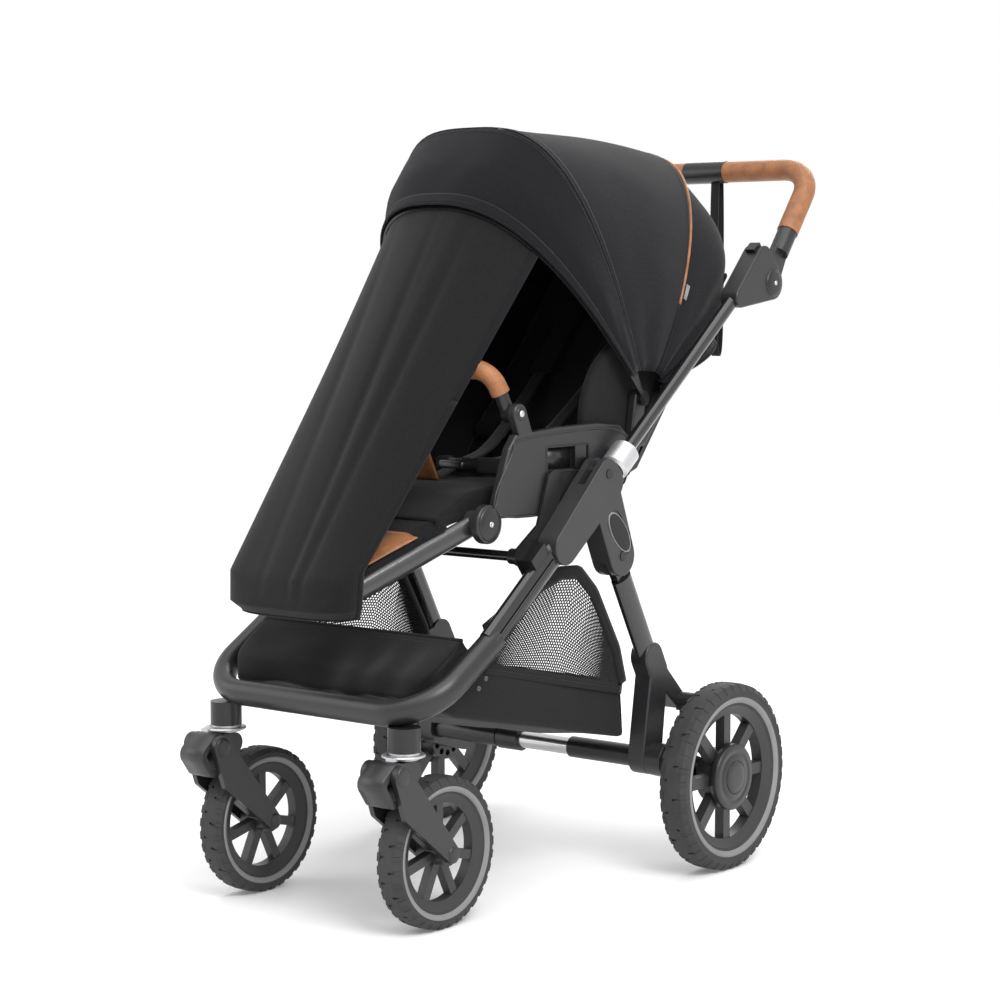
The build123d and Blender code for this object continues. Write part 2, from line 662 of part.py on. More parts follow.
panel -= plate(side_box(*RECESS), SIDE_OUT - RECESS_DEEP, SIDE_OUT + 10)
panel -= rod_x(*SEAT_PIVOT, SEAT_PIN_R + RUN, SIDE_IN + 1.5, 250)
panel += rod_x(*FOOT_PIVOT, FOOT_PIN_R, EYE_IN, SIDE_IN + 1)
panel += rod_x(*BUMPER_PIVOT, BUMPER_PIN_R, BUMPER_IN, SIDE_IN + 1)
panel += rod_x(*CANOPY_PIVOT, CANOPY_PIN_R, SIDE_OUT - 1, CANOPY_PIN_END)
keep("seat_sides", both(panel))

trigger_z0 = RECESS[1] + RUN
trigger_z1 = RECESS[3] - RUN
pull = plate(
    side_box(RECESS[2] - 32.0, trigger_z0, RECESS[2] - SEAT_TRIGGER_TRAVEL - SEAT_GAP, trigger_z1),
    SIDE_OUT - RECESS_DEEP + RUN,
    SIDE_OUT + 1.5,
)
keep("seat_triggers", both(pull))


def cushion(a, b, half, half_x, grooves):
    """A padded slab seen from the side as a capsule, with rounded ends and sewn grooves across it."""
    body = plate(capsule(a, b, half), -half_x, half_x)
    rims = body.faces().sort_by(Axis.X)
    body = eased(body, rims[0].edges() + rims[-1].edges(), half * 0.7)
    direction = math.degrees(math.atan2(b[1] - a[1], b[0] - a[0]))
    length = math.dist(a, b)
    for k in range(grooves):
        spot = aimed(a, direction, length * (k + 1) / (grooves + 1))
        top = aimed(spot, direction + 90, half + 2.5)
        body -= rod_x(*top, 4.5, -half_x - 5, half_x + 5)
    return body


lift = SHELL_HALF + SOFT_GAP + PAD_HALF
seat_a = (152.0, SHELL_POINTS[0][1] + lift)
seat_b = (320.0, SHELL_POINTS[1][1] + lift)
keep("seat_pad", cushion(seat_a, seat_b, PAD_HALF, PAD_X, 2))
back_dir = math.degrees(
    math.atan2(SHELL_POINTS[3][1] - SHELL_POINTS[2][1], SHELL_POINTS[3][0] - SHELL_POINTS[2][0])
)
back_start = aimed(SHELL_POINTS[2], back_dir, 34.0)
back_end = aimed(SHELL_POINTS[2], back_dir, 345.0)
back_a = aimed(back_start, back_dir + 90, lift)
back_b = aimed(back_end, back_dir + 90, lift)
keep("back_pad", cushion(back_a, back_b, PAD_HALF, PAD_X, 3))

STRAP_HALF = 1.2
over_back = PAD_HALF + SOFT_GAP + STRAP_HALF
shoulder_a = aimed(aimed(back_a, back_dir, 30.0), back_dir + 90, over_back)
shoulder_b = aimed(aimed(back_a, back_dir, 250.0), back_dir + 90, over_back)
shoulder = plate(capsule(shoulder_a, shoulder_b, STRAP_HALF), 42.0, 67.0)
buckle_z = seat_a[1] + PAD_HALF + SOFT_GAP
buckle = Pos(0, 250.0, buckle_z + 9) * Box(46, 52, 18)
buckle = eased(buckle, buckle.edges(), 5.0)
waist = plate(
    capsule((258.0, buckle_z + 9), (325.0, buckle_z + 9), STRAP_HALF), 23.0, 48.0
) - buckle
keep("harness", Compound(children=[*both(shoulder).solids(), *both(waist).solids(), *buckle.solids()]))

# Bumper bar with a leather grip and release buttons

BUMPER_R = 10.0
BUMPER_GRIP_R = 13.5
BUMPER_X = SIDE_IN - BUMPER_R - 2 * SEAT_GAP
bumper_plane = Plane(origin=(0, *BUMPER_PIVOT), x_dir=(1, 0, 0), z_dir=(0, -0.9165, -0.4))
ELBOW_END = (153.6, 30.0)
GRIP_START_AT = (153.5, 30.5)
GRIP_CORNER = (146.0, 66.0)
elbow = along_path(bumper_plane * Line((BUMPER_X, 0.0), ELBOW_END), Circle(BUMPER_R))
elbow += rod_x(*BUMPER_PIVOT, 13.0, BUMPER_IN, SIDE_IN - SEAT_GAP)
elbow -= rod_x(*BUMPER_PIVOT, BUMPER_PIN_R + RUN, BUMPER_IN - 20, SIDE_IN + 5)
keep("bumper_bar", both(elbow))
grip_half = [GRIP_START_AT, GRIP_CORNER]
grip_line = grip_half + [(-x, y) for x, y in reversed(grip_half)]
grip_path = bumper_plane * FilletPolyline(*grip_line, radius=32.0)
keep("bumper_grip", along_path(grip_path, Circle(BUMPER_GRIP_R)))

# Leg rest: bent tube frame and pad

FOOT_RISE = 203.9
FOOT_REACH = 232.0
FOOT_WIDE = 152.0
FOOT_TIP = 92.0
FOOT_TUBE_TALL = 15.0
foot_dir = math.radians(FOOT_RISE)
foot_plane = Plane(
    origin=(0, *FOOT_PIVOT), x_dir=(1, 0, 0), z_dir=(0, -math.sin(foot_dir), math.cos(foot_dir))
)
foot_points = [(FOOT_WIDE, 8.0), (FOOT_TIP, FOOT_REACH), (-FOOT_TIP, FOOT_REACH), (-FOOT_WIDE, 8.0)]
foot_path = foot_plane * FilletPolyline(*foot_points, radius=50.0)
foot = along_path(foot_path, Ellipse(10.0, FOOT_TUBE_TALL))
foot += both(rod_x(*FOOT_PIVOT, 18.0, EYE_IN, SIDE_IN - SEAT_GAP))
foot -= both(rod_x(*FOOT_PIVOT, FOOT_PIN_R + RUN, EYE_IN - 30, SIDE_IN + 5))
keep("footrest_frame", foot)
FOOT_PAD_THICK = 12.0
PAD_OVER = 7.0
pad_half = [(FOOT_WIDE + 1.0, 42.0), (FOOT_TIP + PAD_OVER, 216.0)]
pad_points = pad_half + [(-x, y) for x, y in reversed(pad_half)]
pad_plane = foot_plane.offset(-FOOT_TUBE_TALL - SOFT_GAP)
foot_pad = extrude(pad_plane * make_face(Polyline(*pad_points, close=True)), amount=-FOOT_PAD_THICK)
foot_pad = eased(foot_pad, foot_pad.edges(), 5.0)
keep("footrest_pad", foot_pad)

# Canopy: two bows, cloth panels between them and the fixed back panel

CANOPY_X = 190.0
CLOTH = 2.0
BOWS = {
    "front": (133.5, 386.0, 2.6),
    "mid": (114.7, 429.0, 3.2),
    "rear": (56.0, 439.0, 2.1),
    "back": (40.0, 390.0, 3.4),
}


def bow_plane(degrees):
    """Plane through the canopy pivot line: first axis X, second axis away from the pivot."""
    angle = math.radians(degrees)
    return Plane(origin=(0, *CANOPY_PIVOT), x_dir=(1, 0, 0), z_dir=(0, -math.sin(angle), math.cos(angle)))


def arch_points(half, reach, power, low, count=15):
    """Points of an arch that is boxier with a higher power, left out below the low reach."""
    first = math.asin(min(1.0, (low / reach) ** (power / 2)))
    points = []
    for k in range(count):
        t = first + (math.pi - 2 * first) * k / (count - 1)
        across = half * abs(math.cos(t)) ** (2 / power) * (1 if math.cos(t) > 0 else -1)
        if k == count // 2:
            across = 0.0
        points.append((across, reach * abs(math.sin(t)) ** (2 / power)))
    return points


def arch_strip(plane, half, reach, power, low, thick):
    """A thin arch-shaped face in a plane."""
    outer = arch_points(half, reach, power, low)
    inner = arch_points(half - thick, reach - thick, power, low)
    top = Spline(*outer)
    under = Spline(*inner)
    ends = [Line(outer[0], inner[0]), Line(outer[-1], inner[-1])]
    return plane * make_face([top, under, *ends])


def cloth_between(first, second, trim_first=0.0, trim_second=0.0):
    """A cloth panel from one bow to the next, stopping short of each by a small angle."""
    sections = []
    for name, trim in ((first, trim_first), (second, trim_second)):
        degrees, reach, power = BOWS[name]
        sections.append(arch_strip(bow_plane(degrees + trim), CANOPY_X, reach, power, 46.0, CLOTH))
    return loft(sections, ruled=True)


SEAM = 0.06
BOW_THIN = 1.4
BOW_DEEP = 8.0
FRONT_BOW_X = CANOPY_X - CLOTH - SOFT_GAP - BOW_THIN
FRONT_BOW_DROP = 7.0
keep("canopy_visor", cloth_between("front", "mid", 0.0, SEAM))
keep("canopy_main_panel", cloth_between("mid", "rear", -SEAM, SEAM))
keep("canopy_back_panel", cloth_between("rear", "back", -SEAM, 0.0))


def bow(name, half, hub_x0, hub_x1, drop):
    """A flat bent bow with a hub at each end."""
    degrees, reach, power = BOWS[name]
    points = arch_points(half, reach - drop, power, 0.001)
    path = bow_plane(degrees) * Spline(*points)
    shape = along_path(path, Rectangle(2 * BOW_THIN, BOW_DEEP))
    shape += both(rod_x(*CANOPY_PIVOT, 11.0, hub_x0, hub_x1))
    return shape - both(rod_x(*CANOPY_PIVOT, CANOPY_PIN_R + RUN, hub_x0 - 3, hub_x1 + 3))


keep("canopy_mid_bow", bow("mid", 182.0, 180.4, 183.5, 9.0))
keep("canopy_front_bow", bow("front", FRONT_BOW_X, 183.8, 186.9, FRONT_BOW_DROP))

# Sun cover from the canopy edge to the leg rest, in an upper and a lower panel

COVER_THICK = 2.0
COVER = [
    # base point, direction of the bulge in degrees, half width, bulge, power
    ((92.0, 711.0), 150.0, 130.0, 50.0, 2.4),
    ((-84.0, 487.0), 200.0, 114.0, 55.0, 3.2),
    ((-88.0, 430.0), 183.0, 112.0, 54.0, 3.2),
]
COVER_LOW = 285.0


def cover_section(base, degrees, half, rise, power):
    angle = math.radians(degrees)
    plane = Plane(origin=(0, *base), x_dir=(1, 0, 0), z_dir=(0, -math.sin(angle), math.cos(angle)))
    return arch_strip(plane, half, rise, power, 1.0, COVER_THICK)


front_degrees, front_reach, front_power = BOWS["front"]
inside = BOW_THIN + SOFT_GAP
cover_top = arch_strip(
    bow_plane(front_degrees),
    FRONT_BOW_X - inside,
    front_reach - FRONT_BOW_DROP - inside,
    front_power,
    COVER_LOW,
    COVER_THICK,
)
keep("sun_cover_upper", loft([cover_top, cover_section(*COVER[0])], ruled=True))
low_start = ((COVER[0][0][0] - 0.5, COVER[0][0][1] - 0.7), *COVER[0][1:])
lower_sections = [cover_section(*low_start), cover_section(*COVER[1]), cover_section(*COVER[2])]
keep("sun_cover_lower", loft(lower_sections, ruled=True))

for name, shape in nodes.items():
    export_step(Pos(0, FRONT_AXLE_Y, 0) * shape, os.path.join("parts", name + ".step"))
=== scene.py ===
import math

import bmesh
import bpy
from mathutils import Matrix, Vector
from mathutils.bvhtree import BVHTree


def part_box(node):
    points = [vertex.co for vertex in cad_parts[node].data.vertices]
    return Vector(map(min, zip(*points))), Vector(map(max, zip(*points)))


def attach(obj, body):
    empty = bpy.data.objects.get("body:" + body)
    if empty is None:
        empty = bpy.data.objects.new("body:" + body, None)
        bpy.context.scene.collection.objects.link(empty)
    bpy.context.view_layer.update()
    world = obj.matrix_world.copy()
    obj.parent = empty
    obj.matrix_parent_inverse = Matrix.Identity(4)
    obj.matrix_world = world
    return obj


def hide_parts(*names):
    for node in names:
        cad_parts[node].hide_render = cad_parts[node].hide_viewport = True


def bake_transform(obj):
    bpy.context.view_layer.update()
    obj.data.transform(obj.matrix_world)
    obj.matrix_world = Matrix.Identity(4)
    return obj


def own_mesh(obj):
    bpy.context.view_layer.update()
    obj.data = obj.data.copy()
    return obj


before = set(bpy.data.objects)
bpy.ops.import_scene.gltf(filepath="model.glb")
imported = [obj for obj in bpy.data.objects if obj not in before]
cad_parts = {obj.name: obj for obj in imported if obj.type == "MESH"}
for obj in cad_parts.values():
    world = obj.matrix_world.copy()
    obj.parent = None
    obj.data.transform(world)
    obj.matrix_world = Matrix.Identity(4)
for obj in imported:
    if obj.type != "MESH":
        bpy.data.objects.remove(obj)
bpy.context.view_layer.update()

MM = 0.001
# The drawing has the front axle at Y = 0; the frame's origin is under the middle of the stroller
FRONT_AXLE_Y = -381.44


def at(x, y, z):
    """A point of the drawing, in millimetres, as a point of the frame, in metres."""
    return Vector((x * MM, (y + FRONT_AXLE_Y) * MM, z * MM))


# Driving sizes, in millimetres and degrees, as in the part
FRONT_X, FRONT_R, FRONT_WIDTH = 166.0, 104.0, 39.0
REAR_X, REAR_Y, REAR_R, REAR_WIDTH = 277.5, 527.0, 139.0, 45.0
FRAME_LINE, LINE_RISE = (196.0, 484.0), 38.0
SIDE_X = 204.0
HANDLE_PIVOT = (748.0, 869.0)
CANOPY_PIVOT = (450.0, 700.0)
CANOPY_X = 190.0
BOWS = {
    # direction from the pivot, reach, and power of the arch
    "front": (133.5, 386.0, 2.6),
    "mid": (114.7, 429.0, 3.2),
    "rear": (56.0, 439.0, 2.1),
    "back": (40.0, 390.0, 3.4),
    "skirt": (20.0, 262.0, 5.0),
}
FOOT_PIVOT = (98.0, 540.0)
BUMPER_PIVOT = (166.0, 688.0)
SIDES = ((1, "l"), (-1, "r"))
# Nets and straps are named as seen from in front
SEEN_SIDES = ((1, "r"), (-1, "l"))
X_AXIS, Y_AXIS, Z_AXIS = Vector((1, 0, 0)), Vector((0, 1, 0)), Vector((0, 0, 1))


def aimed(point, degrees, distance):
    """Side-view point at a distance from another in a direction."""
    angle = math.radians(degrees)
    return (point[0] + distance * math.cos(angle), point[1] + distance * math.sin(angle))


def mixed_point(a, b, share):
    """Side-view point between two others."""
    return tuple(p + (q - p) * share for p, q in zip(a, b))


def shares(count):
    """Evenly spaced shares from 0 to 1."""
    return [k / (count - 1) for k in range(count)]


def polyline(points, share):
    """Side-view point at a share of a line's length."""
    runs = [math.dist(a, b) for a, b in zip(points, points[1:])]
    goal = share * sum(runs)
    for a, b, run in zip(points, points[1:], runs):
        if goal <= run + 1e-9:
            return mixed_point(a, b, goal / run)
        goal -= run
    return points[-1]


# Materials: procedural, in the object's own coordinates


class Nodes:
    """The node tree of a material or world being built."""

    def __init__(self, owner):
        owner.use_nodes = True
        self.nodes = owner.node_tree.nodes
        self.links = owner.node_tree.links

    def feed(self, socket, value):
        """Sets an input to a value, or links it to another node's output."""
        if isinstance(value, bpy.types.NodeSocket):
            self.links.new(value, socket)
        else:
            socket.default_value = value

    def set(self, node, **inputs):
        """Feeds inputs of a node by their names."""
        for name, value in inputs.items():
            self.feed(node.inputs[name.replace("_", " ")], value)
        return node

    def add(self, kind, **inputs):
        return self.set(self.nodes.new("ShaderNode" + kind), **inputs)

    def math(self, operation, a, b):
        node = self.add("Math")
        node.operation = operation
        self.feed(node.inputs[0], a)
        self.feed(node.inputs[1], b)
        return node.outputs["Value"]


class Paint(Nodes):
    """A material being built: Principled shader, object coordinates and small helpers."""

    def __init__(self, name, color, roughness, metallic=0.0):
        self.material = bpy.data.materials.new(name)
        super().__init__(self.material)
        self.color = color
        self.shade(Base_Color=(*color, 1.0), Roughness=roughness, Metallic=metallic)
        self.coords = self.add("TexCoord").outputs["Object"]

    def shade(self, **inputs):
        """Feeds inputs of the shader by their names."""
        self.set(self.nodes["Principled BSDF"], **inputs)

    def noise(self, scale, detail, stretch=(1, 1, 1)):
        """Noise value with a scale per metre, drawn out along an axis by the stretch."""
        place = self.add("Mapping", Vector=self.coords, Scale=stretch).outputs["Vector"]
        return self.add("TexNoise", Vector=place, Scale=scale, Detail=detail).outputs["Fac"]

    def cells(self, scale):
        """Distance within random cells, for grain."""
        return self.add("TexVoronoi", Vector=self.coords, Scale=scale).outputs["Distance"]

    def bands(self, scale, direction):
        """Thread lines along one direction."""
        node = self.add("TexWave", Vector=self.coords, Scale=scale)
        node.bands_direction = direction
        return node.outputs["Fac"]

    def tint(self, value, low, high, start=0.3, end=0.7):
        """Base colour times low to base colour times high as a value rises from start to end."""
        ramp = self.add("ValToRGB", Fac=value)
        for stop, place, factor in zip(ramp.color_ramp.elements, (start, end), (low, high)):
            stop.position = place
            stop.color = (*(min(1.0, c * factor) for c in self.color), 1.0)
        self.shade(Base_Color=ramp.outputs["Color"])

    def rough(self, value, low, high):
        """Roughness that varies between low and high with a value."""
        self.shade(Roughness=self.add("MapRange", Value=value, To_Min=low, To_Max=high).outputs["Result"])

    def bump(self, height, strength, distance):
        node = self.add("Bump", Height=height, Strength=strength, Distance=distance)
        self.shade(Normal=node.outputs["Normal"])


def cloth(name, color, thread=270.0, fleck=1.5, sheen=0.25):
    """Woven cloth: crossing threads as bump, small flecks and broad fading as colour."""
    paint = Paint(name, color, 0.9)
    flecks = paint.noise(1400.0, 2.0)
    slubs = paint.noise(380.0, 3.0)
    broad = paint.noise(9.0, 4.0)
    mixed = paint.math("ADD", paint.math("MULTIPLY", flecks, 0.45), paint.math("MULTIPLY", slubs, 0.35))
    mixed = paint.math("ADD", mixed, paint.math("MULTIPLY", broad, 0.2))
    paint.tint(mixed, 0.55, fleck, 0.35, 0.68)
    threads = paint.math("MAXIMUM", paint.bands(thread, "X"), paint.bands(thread, "DIAGONAL"))
    paint.bump(paint.math("ADD", threads, flecks), 0.35, 0.0006)
    paint.rough(broad, 0.78, 0.95)
    paint.shade(Sheen_Weight=sheen, Sheen_Roughness=0.5, Specular_IOR_Level=0.14)
    return paint.material


def leather(name, color):
    """Grained leather: fine cells, darker creases and a soft worn sheen."""
    paint = Paint(name, color, 0.45)
    grain = paint.cells(900.0)
    patches = paint.noise(55.0, 8.0)
    paint.tint(paint.math("ADD", paint.math("MULTIPLY", grain, 0.6), patches), 0.6, 1.25, 0.5, 1.0)
    paint.bump(paint.math("ADD", grain, paint.noise(420.0, 4.0)), 0.35, 0.0009)
    paint.rough(patches, 0.36, 0.55)
    return paint.material


def plastic(name, color, roughness):
    """Moulded plastic with a fine spark-eroded grain."""
    paint = Paint(name, color, roughness)
    fine = paint.noise(1600.0, 2.0)
    broad = paint.noise(14.0, 3.0)
    paint.tint(broad, 0.9, 1.1)
    paint.bump(fine, 0.12, 0.0004)
    paint.rough(broad, roughness - 0.06, roughness + 0.06)
    return paint.material


def lacquer(name, color, roughness):
    """Gloss paint with slight orange peel."""
    paint = Paint(name, color, roughness)
    peel = paint.noise(160.0, 2.0)
    broad = paint.noise(8.0, 3.0)
    paint.tint(broad, 0.9, 1.12)
    paint.bump(peel, 0.05, 0.0008)
    paint.rough(broad, roughness - 0.03, roughness + 0.06)
    paint.shade(Coat_Weight=0.5, Coat_Roughness=0.08)
    return paint.material


def metal(name, color, roughness):
    """Drawn metal with fine lines along X and small changes of gloss."""
    paint = Paint(name, color, roughness, metallic=1.0)
    lines = paint.noise(900.0, 2.0, (0.05, 1, 1))
    broad = paint.noise(20.0, 3.0)
    paint.tint(lines, 0.88, 1.08)
    paint.bump(lines, 0.06, 0.0003)
    paint.rough(broad, roughness - 0.06, roughness + 0.1)
    return paint.material


def rubber(name, color):
    """Tyre rubber: dull, dusty, finely pitted."""
    paint = Paint(name, color, 0.8)
    pits = paint.noise(700.0, 3.0)
    dust = paint.noise(30.0, 5.0)
    paint.tint(dust, 0.8, 1.35)
    paint.bump(pits, 0.2, 0.0006)
    paint.rough(dust, 0.66, 0.9)
    return paint.material


BLACK_CLOTH = cloth("black_cloth", (0.0074, 0.0072, 0.0092), sheen=0.08)
COVER_CLOTH = cloth("cover_cloth", (0.008, 0.0076, 0.0082), thread=330.0, fleck=1.6, sheen=0.12)
SEAT_CLOTH = cloth("seat_cloth", (0.008, 0.008, 0.009), sheen=0.08)
BASKET_CLOTH = cloth("basket_cloth", (0.0085, 0.0085, 0.0095), sheen=0.12)
NET_CLOTH = cloth("net_cloth", (0.018, 0.018, 0.019), thread=600.0, sheen=0.1)
LABEL_CLOTH = cloth("label_cloth", (0.3, 0.3, 0.31), thread=900.0, fleck=1.15)
WEBBING = cloth("webbing", (0.013, 0.013, 0.014), thread=420.0, fleck=1.7, sheen=0.12)
THREAD = cloth("thread", (0.024, 0.024, 0.026), thread=900.0, fleck=1.6)
TAN = leather("tan_leather", (0.31, 0.125, 0.046))
GREY = plastic("grey_plastic", (0.0175, 0.0175, 0.019), 0.36)
HOUSING = plastic("housing_grey", (0.028, 0.028, 0.0295), 0.4)
DARK = plastic("black_plastic", (0.0095, 0.0095, 0.01), 0.32)
GLOSS = lacquer("gloss_black", (0.011, 0.011, 0.012), 0.13)
GUNMETAL = lacquer("gunmetal", (0.03, 0.03, 0.032), 0.3)
RIM = plastic("rim_black", (0.026, 0.026, 0.027), 0.42)
SILVER = metal("silver", (0.62, 0.62, 0.63), 0.46)
STEEL = metal("steel", (0.6, 0.6, 0.61), 0.22)
TYRE = rubber("tyre", (0.031, 0.031, 0.0315))
STRIPE = plastic("tyre_stripe", (0.22, 0.22, 0.225), 0.6)
RUBBER = rubber("puck_rubber", (0.02, 0.02, 0.02))
INLAY = plastic("badge_inlay", (0.003, 0.003, 0.0032), 0.6)

NODE_PAINT = {
    GLOSS: ["side_tubes", "rear_leg_tubes", "handle_tube", "arm_tubes", "cross_bar"],
    GREY: [
        "front_hoop", "handle_hinge_lowers", "handle_hinge_uppers", "seat_sides", "rear_brackets",
        "caster_body_l", "caster_body_r", "fork_l", "fork_r", "swing_arm_l", "swing_arm_r",
    ],
    DARK: [
        "seat_adapters", "caster_sockets", "axle_sleeves", "handle_sleeve", "handle_triggers",
        "seat_triggers", "seat_shell", "brake_pedal", "bumper_bar", "canopy_mid_bow", "canopy_front_bow",
        "pivot_pins",
    ],
    HOUSING: ["joint_housings"],
    SILVER: ["fold_catches", "swivel_lever_l", "swivel_lever_r"],
    GUNMETAL: ["footrest_frame"],
    STEEL: ["rear_axle", "brake_pin_l", "brake_pin_r"],
    TAN: ["handle_grips", "bumper_grip"],
    TYRE: ["front_tyre_l", "front_tyre_r", "rear_tyre_l", "rear_tyre_r"],
    RIM: ["front_rim_l", "front_rim_r", "rear_rim_l", "rear_rim_r"],
}
BEVEL, BEVEL_ANGLE = 1.2, 40.0


def modify(obj, name, kind, **settings):
    """Gives a piece a modifier with its settings."""
    modifier = obj.modifiers.new(name, kind)
    for key, value in settings.items():
        setattr(modifier, key, value)
    return obj


def dress_nodes():
    """Gives each carried-over CAD node its material and soft edges."""
    for material, names in NODE_PAINT.items():
        for name in names:
            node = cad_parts[name]
            node.data.materials.clear()
            node.data.materials.append(material)
            modify(
                node, "soft_edges", "BEVEL", width=BEVEL * MM, segments=2, limit_method="ANGLE",
                angle_limit=math.radians(BEVEL_ANGLE), harden_normals=False,
            )


dress_nodes()

# Building blocks for new pieces


def link(name, data):
    """A new object of the scene for a mesh, curve, lamp or camera."""
    obj = bpy.data.objects.new(name, data)
    bpy.context.scene.collection.objects.link(obj)
    return obj


def finished(obj, body, smooth=True):
    """Shades a piece and lets it move with a body, or with none yet."""
    for polygon in obj.data.polygons:
        polygon.use_smooth = smooth
    if body:
        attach(obj, body)
    return obj


def add_mesh(name, verts, faces, material, body, smooth=True):
    """A new mesh piece from points and faces."""
    mesh = bpy.data.meshes.new(name)
    mesh.from_pydata([tuple(v) for v in verts], [], faces)
    mesh.update()
    mesh.materials.append(material)
    return finished(link(name, mesh), body, smooth)


def row_faces(rows, count, closed, base=0):
    """Faces between rows of points with the same count, the first point having the index base."""
    faces = []
    for r in range(rows - 1):
        for c in range(count if closed else count - 1):
            a = base + r * count + c
            b = base + r * count + (c + 1) % count
            faces.append((a, b, b + count, a + count))
    return faces


def grid(name, rows, material, body=None, closed=False):
    """A sheet through rows of points, each row with the same count."""
    faces = row_faces(len(rows), len(rows[0]), closed)
    return add_mesh(name, [p for row in rows for p in row], faces, material, body)


def layer(name, rows, material, body, thickness, offset=0.0):
    """A sheet through rows of points, thick on both sides of them, or outside for an offset of 1."""
    piece = grid(name, rows, material, body)
    return modify(piece, "thickness", "SOLIDIFY", thickness=thickness * MM, offset=offset)


def smooth_out(obj, levels=1):
    return modify(obj, "smooth", "SUBSURF", levels=levels, render_levels=levels)


def baked(obj):
    """A mesh of a piece as its modifiers leave it."""
    return bpy.data.meshes.new_from_object(obj.evaluated_get(bpy.context.evaluated_depsgraph_get()))


def ring_points(centre, first, second, radius, count):
    """Points of a circle around a centre in the plane of two directions."""
    points = []
    for k in range(count):
        turn = 2 * math.pi * k / count
        points.append(centre + radius * (math.cos(turn) * first + math.sin(turn) * second))
    return points


def frames_along(points):
    """A direction and two crossing directions at each point of a line, turning as little as possible."""
    result = []
    side = None
    for k, point in enumerate(points):
        ahead = points[min(k + 1, len(points) - 1)] - points[max(k - 1, 0)]
        ahead.normalize()
        if side is None:
            side = ahead.orthogonal().normalized()
        side = (side - side.dot(ahead) * ahead).normalized()
        result.append((ahead, side, ahead.cross(side)))
    return result


def tube(name, points, radius, material, body, sides=8):
    """A round tube along points, closed at its ends."""
    rows = []
    for point, (_, side, up) in zip(points, frames_along(points)):
        rows.append(ring_points(point, side, up, radius * MM, sides))
    obj = grid(name, rows, material, None, closed=True)
    shape = bmesh.new()
    shape.from_mesh(obj.data)
    bmesh.ops.holes_fill(shape, edges=[e for e in shape.edges if e.is_boundary])
    bmesh.ops.recalc_face_normals(shape, faces=shape.faces)
    shape.to_mesh(obj.data)
    shape.free()
    return finished(obj, body)


def walk(points, step):
    """Points spaced evenly along a line, with the direction at each."""
    result = []
    left = 0.0
    for a, b in zip(points, points[1:]):
        run = (b - a).length
        direction = (b - a).normalized()
        while left <= run:
            result.append((a + direction * left, direction))
            left += step
        left -= run
    return result


def curve_through(points, count):
    """Points along a smooth curve through a few points."""
    result = []
    padded = [2 * points[0] - points[1], *points, 2 * points[-1] - points[-2]]
    for k in range(count):
        place = (len(points) - 1) * k / (count - 1)
        i = min(int(place), len(points) - 2)
        t = place - i
        a, b, c, d = padded[i:i + 4]
        result.append(0.5 * ((2 * b) + (c - a) * t + (2 * a - 5 * b + 4 * c - d) * t * t
                             + (3 * b - a - 3 * c + d) * t * t * t))
    return result


def route(points, count, side=1):
    """A smooth curve through points of the drawing, mirrored for side -1."""
    return curve_through([at(side * x, y, z) for x, y, z in points], count)


STITCH_PITCH, STITCH_LENGTH, STITCH_R, STITCH_SIDES = 3.4, 2.4, 0.45, 6
STITCH_PROFILE = ((-0.5, 0.35), (-0.3, 1.0), (0.3, 1.0), (0.5, 0.35))


def stitches(name, points, material, body):
    """A row of sewn stitches along a line, as one piece."""
    verts, faces = [], []
    n = STITCH_SIDES
    for spot, direction in walk(points, STITCH_PITCH * MM):
        side = direction.orthogonal().normalized()
        up = direction.cross(side)
        base = len(verts)
        for share, size in STITCH_PROFILE:
            centre = spot + direction * (share * STITCH_LENGTH * MM)
            verts += ring_points(centre, side, up, STITCH_R * size * MM, n)
        faces += row_faces(len(STITCH_PROFILE), n, True, base)
        faces.append(tuple(base + c for c in range(n - 1, -1, -1)))
        faces.append(tuple(len(verts) - n + c for c in range(n)))
    return add_mesh(name, verts, faces, material, body)


def normals_of(rows):
    """Unit normal at each point of a grid of points."""
    result = []
    last_row, last_col = len(rows) - 1, len(rows[0]) - 1
    for r, row in enumerate(rows):
        line = []
        for c in range(len(row)):
            down = rows[min(r + 1, last_row)][c] - rows[max(r - 1, 0)][c]
            across = row[min(c + 1, last_col)] - row[max(c - 1, 0)]
            line.append(down.cross(across).normalized())
        result.append(line)
    return result


def raised(rows, height):
    """The grid moved along its normals by height(u, v) millimetres; u across, v along, from 0 to 1."""
    result = []
    normals = normals_of(rows)
    for r, row in enumerate(rows):
        v = r / (len(rows) - 1)
        line = []
        for c, point in enumerate(row):
            line.append(point + normals[r][c] * (height(c / (len(row) - 1), v) * MM))
        result.append(line)
    return result


def eased_step(x, low, high):
    """0 below low, 1 above high, smooth between."""
    t = max(0.0, min(1.0, (x - low) / (high - low)))
    return t * t * (3 - 2 * t)


def bump_at(x, centre, width):
    """A rounded bump of height 1."""
    return math.exp(-(((x - centre) / width) ** 2))


# Canopy: cloth over the bows, with hems, seams and piping

ARCH_COUNT, ARCH_STEPS = 73, 400
ARCH_LOW = 46.0


def arch(half, reach, power, low):
    """Arch points (across, out), boxier with a higher power, evenly spaced along the arch."""
    first = math.asin(min(1.0, (low / reach) ** (power / 2)))
    fine = []
    for share in shares(ARCH_STEPS + 1):
        t = first + (math.pi - 2 * first) * share
        across = half * abs(math.cos(t)) ** (2 / power) * (1 if math.cos(t) > 0 else -1)
        fine.append((across, reach * abs(math.sin(t)) ** (2 / power)))
    return [polyline(fine, share) for share in shares(ARCH_COUNT)]


def in_plane(points, base, degrees):
    """Arch points placed in a plane through a side-view point, leaning in a direction."""
    c = math.cos(math.radians(degrees))
    s = math.sin(math.radians(degrees))
    return [at(x, base[0] + out * c, base[1] + out * s) for x, out in points]


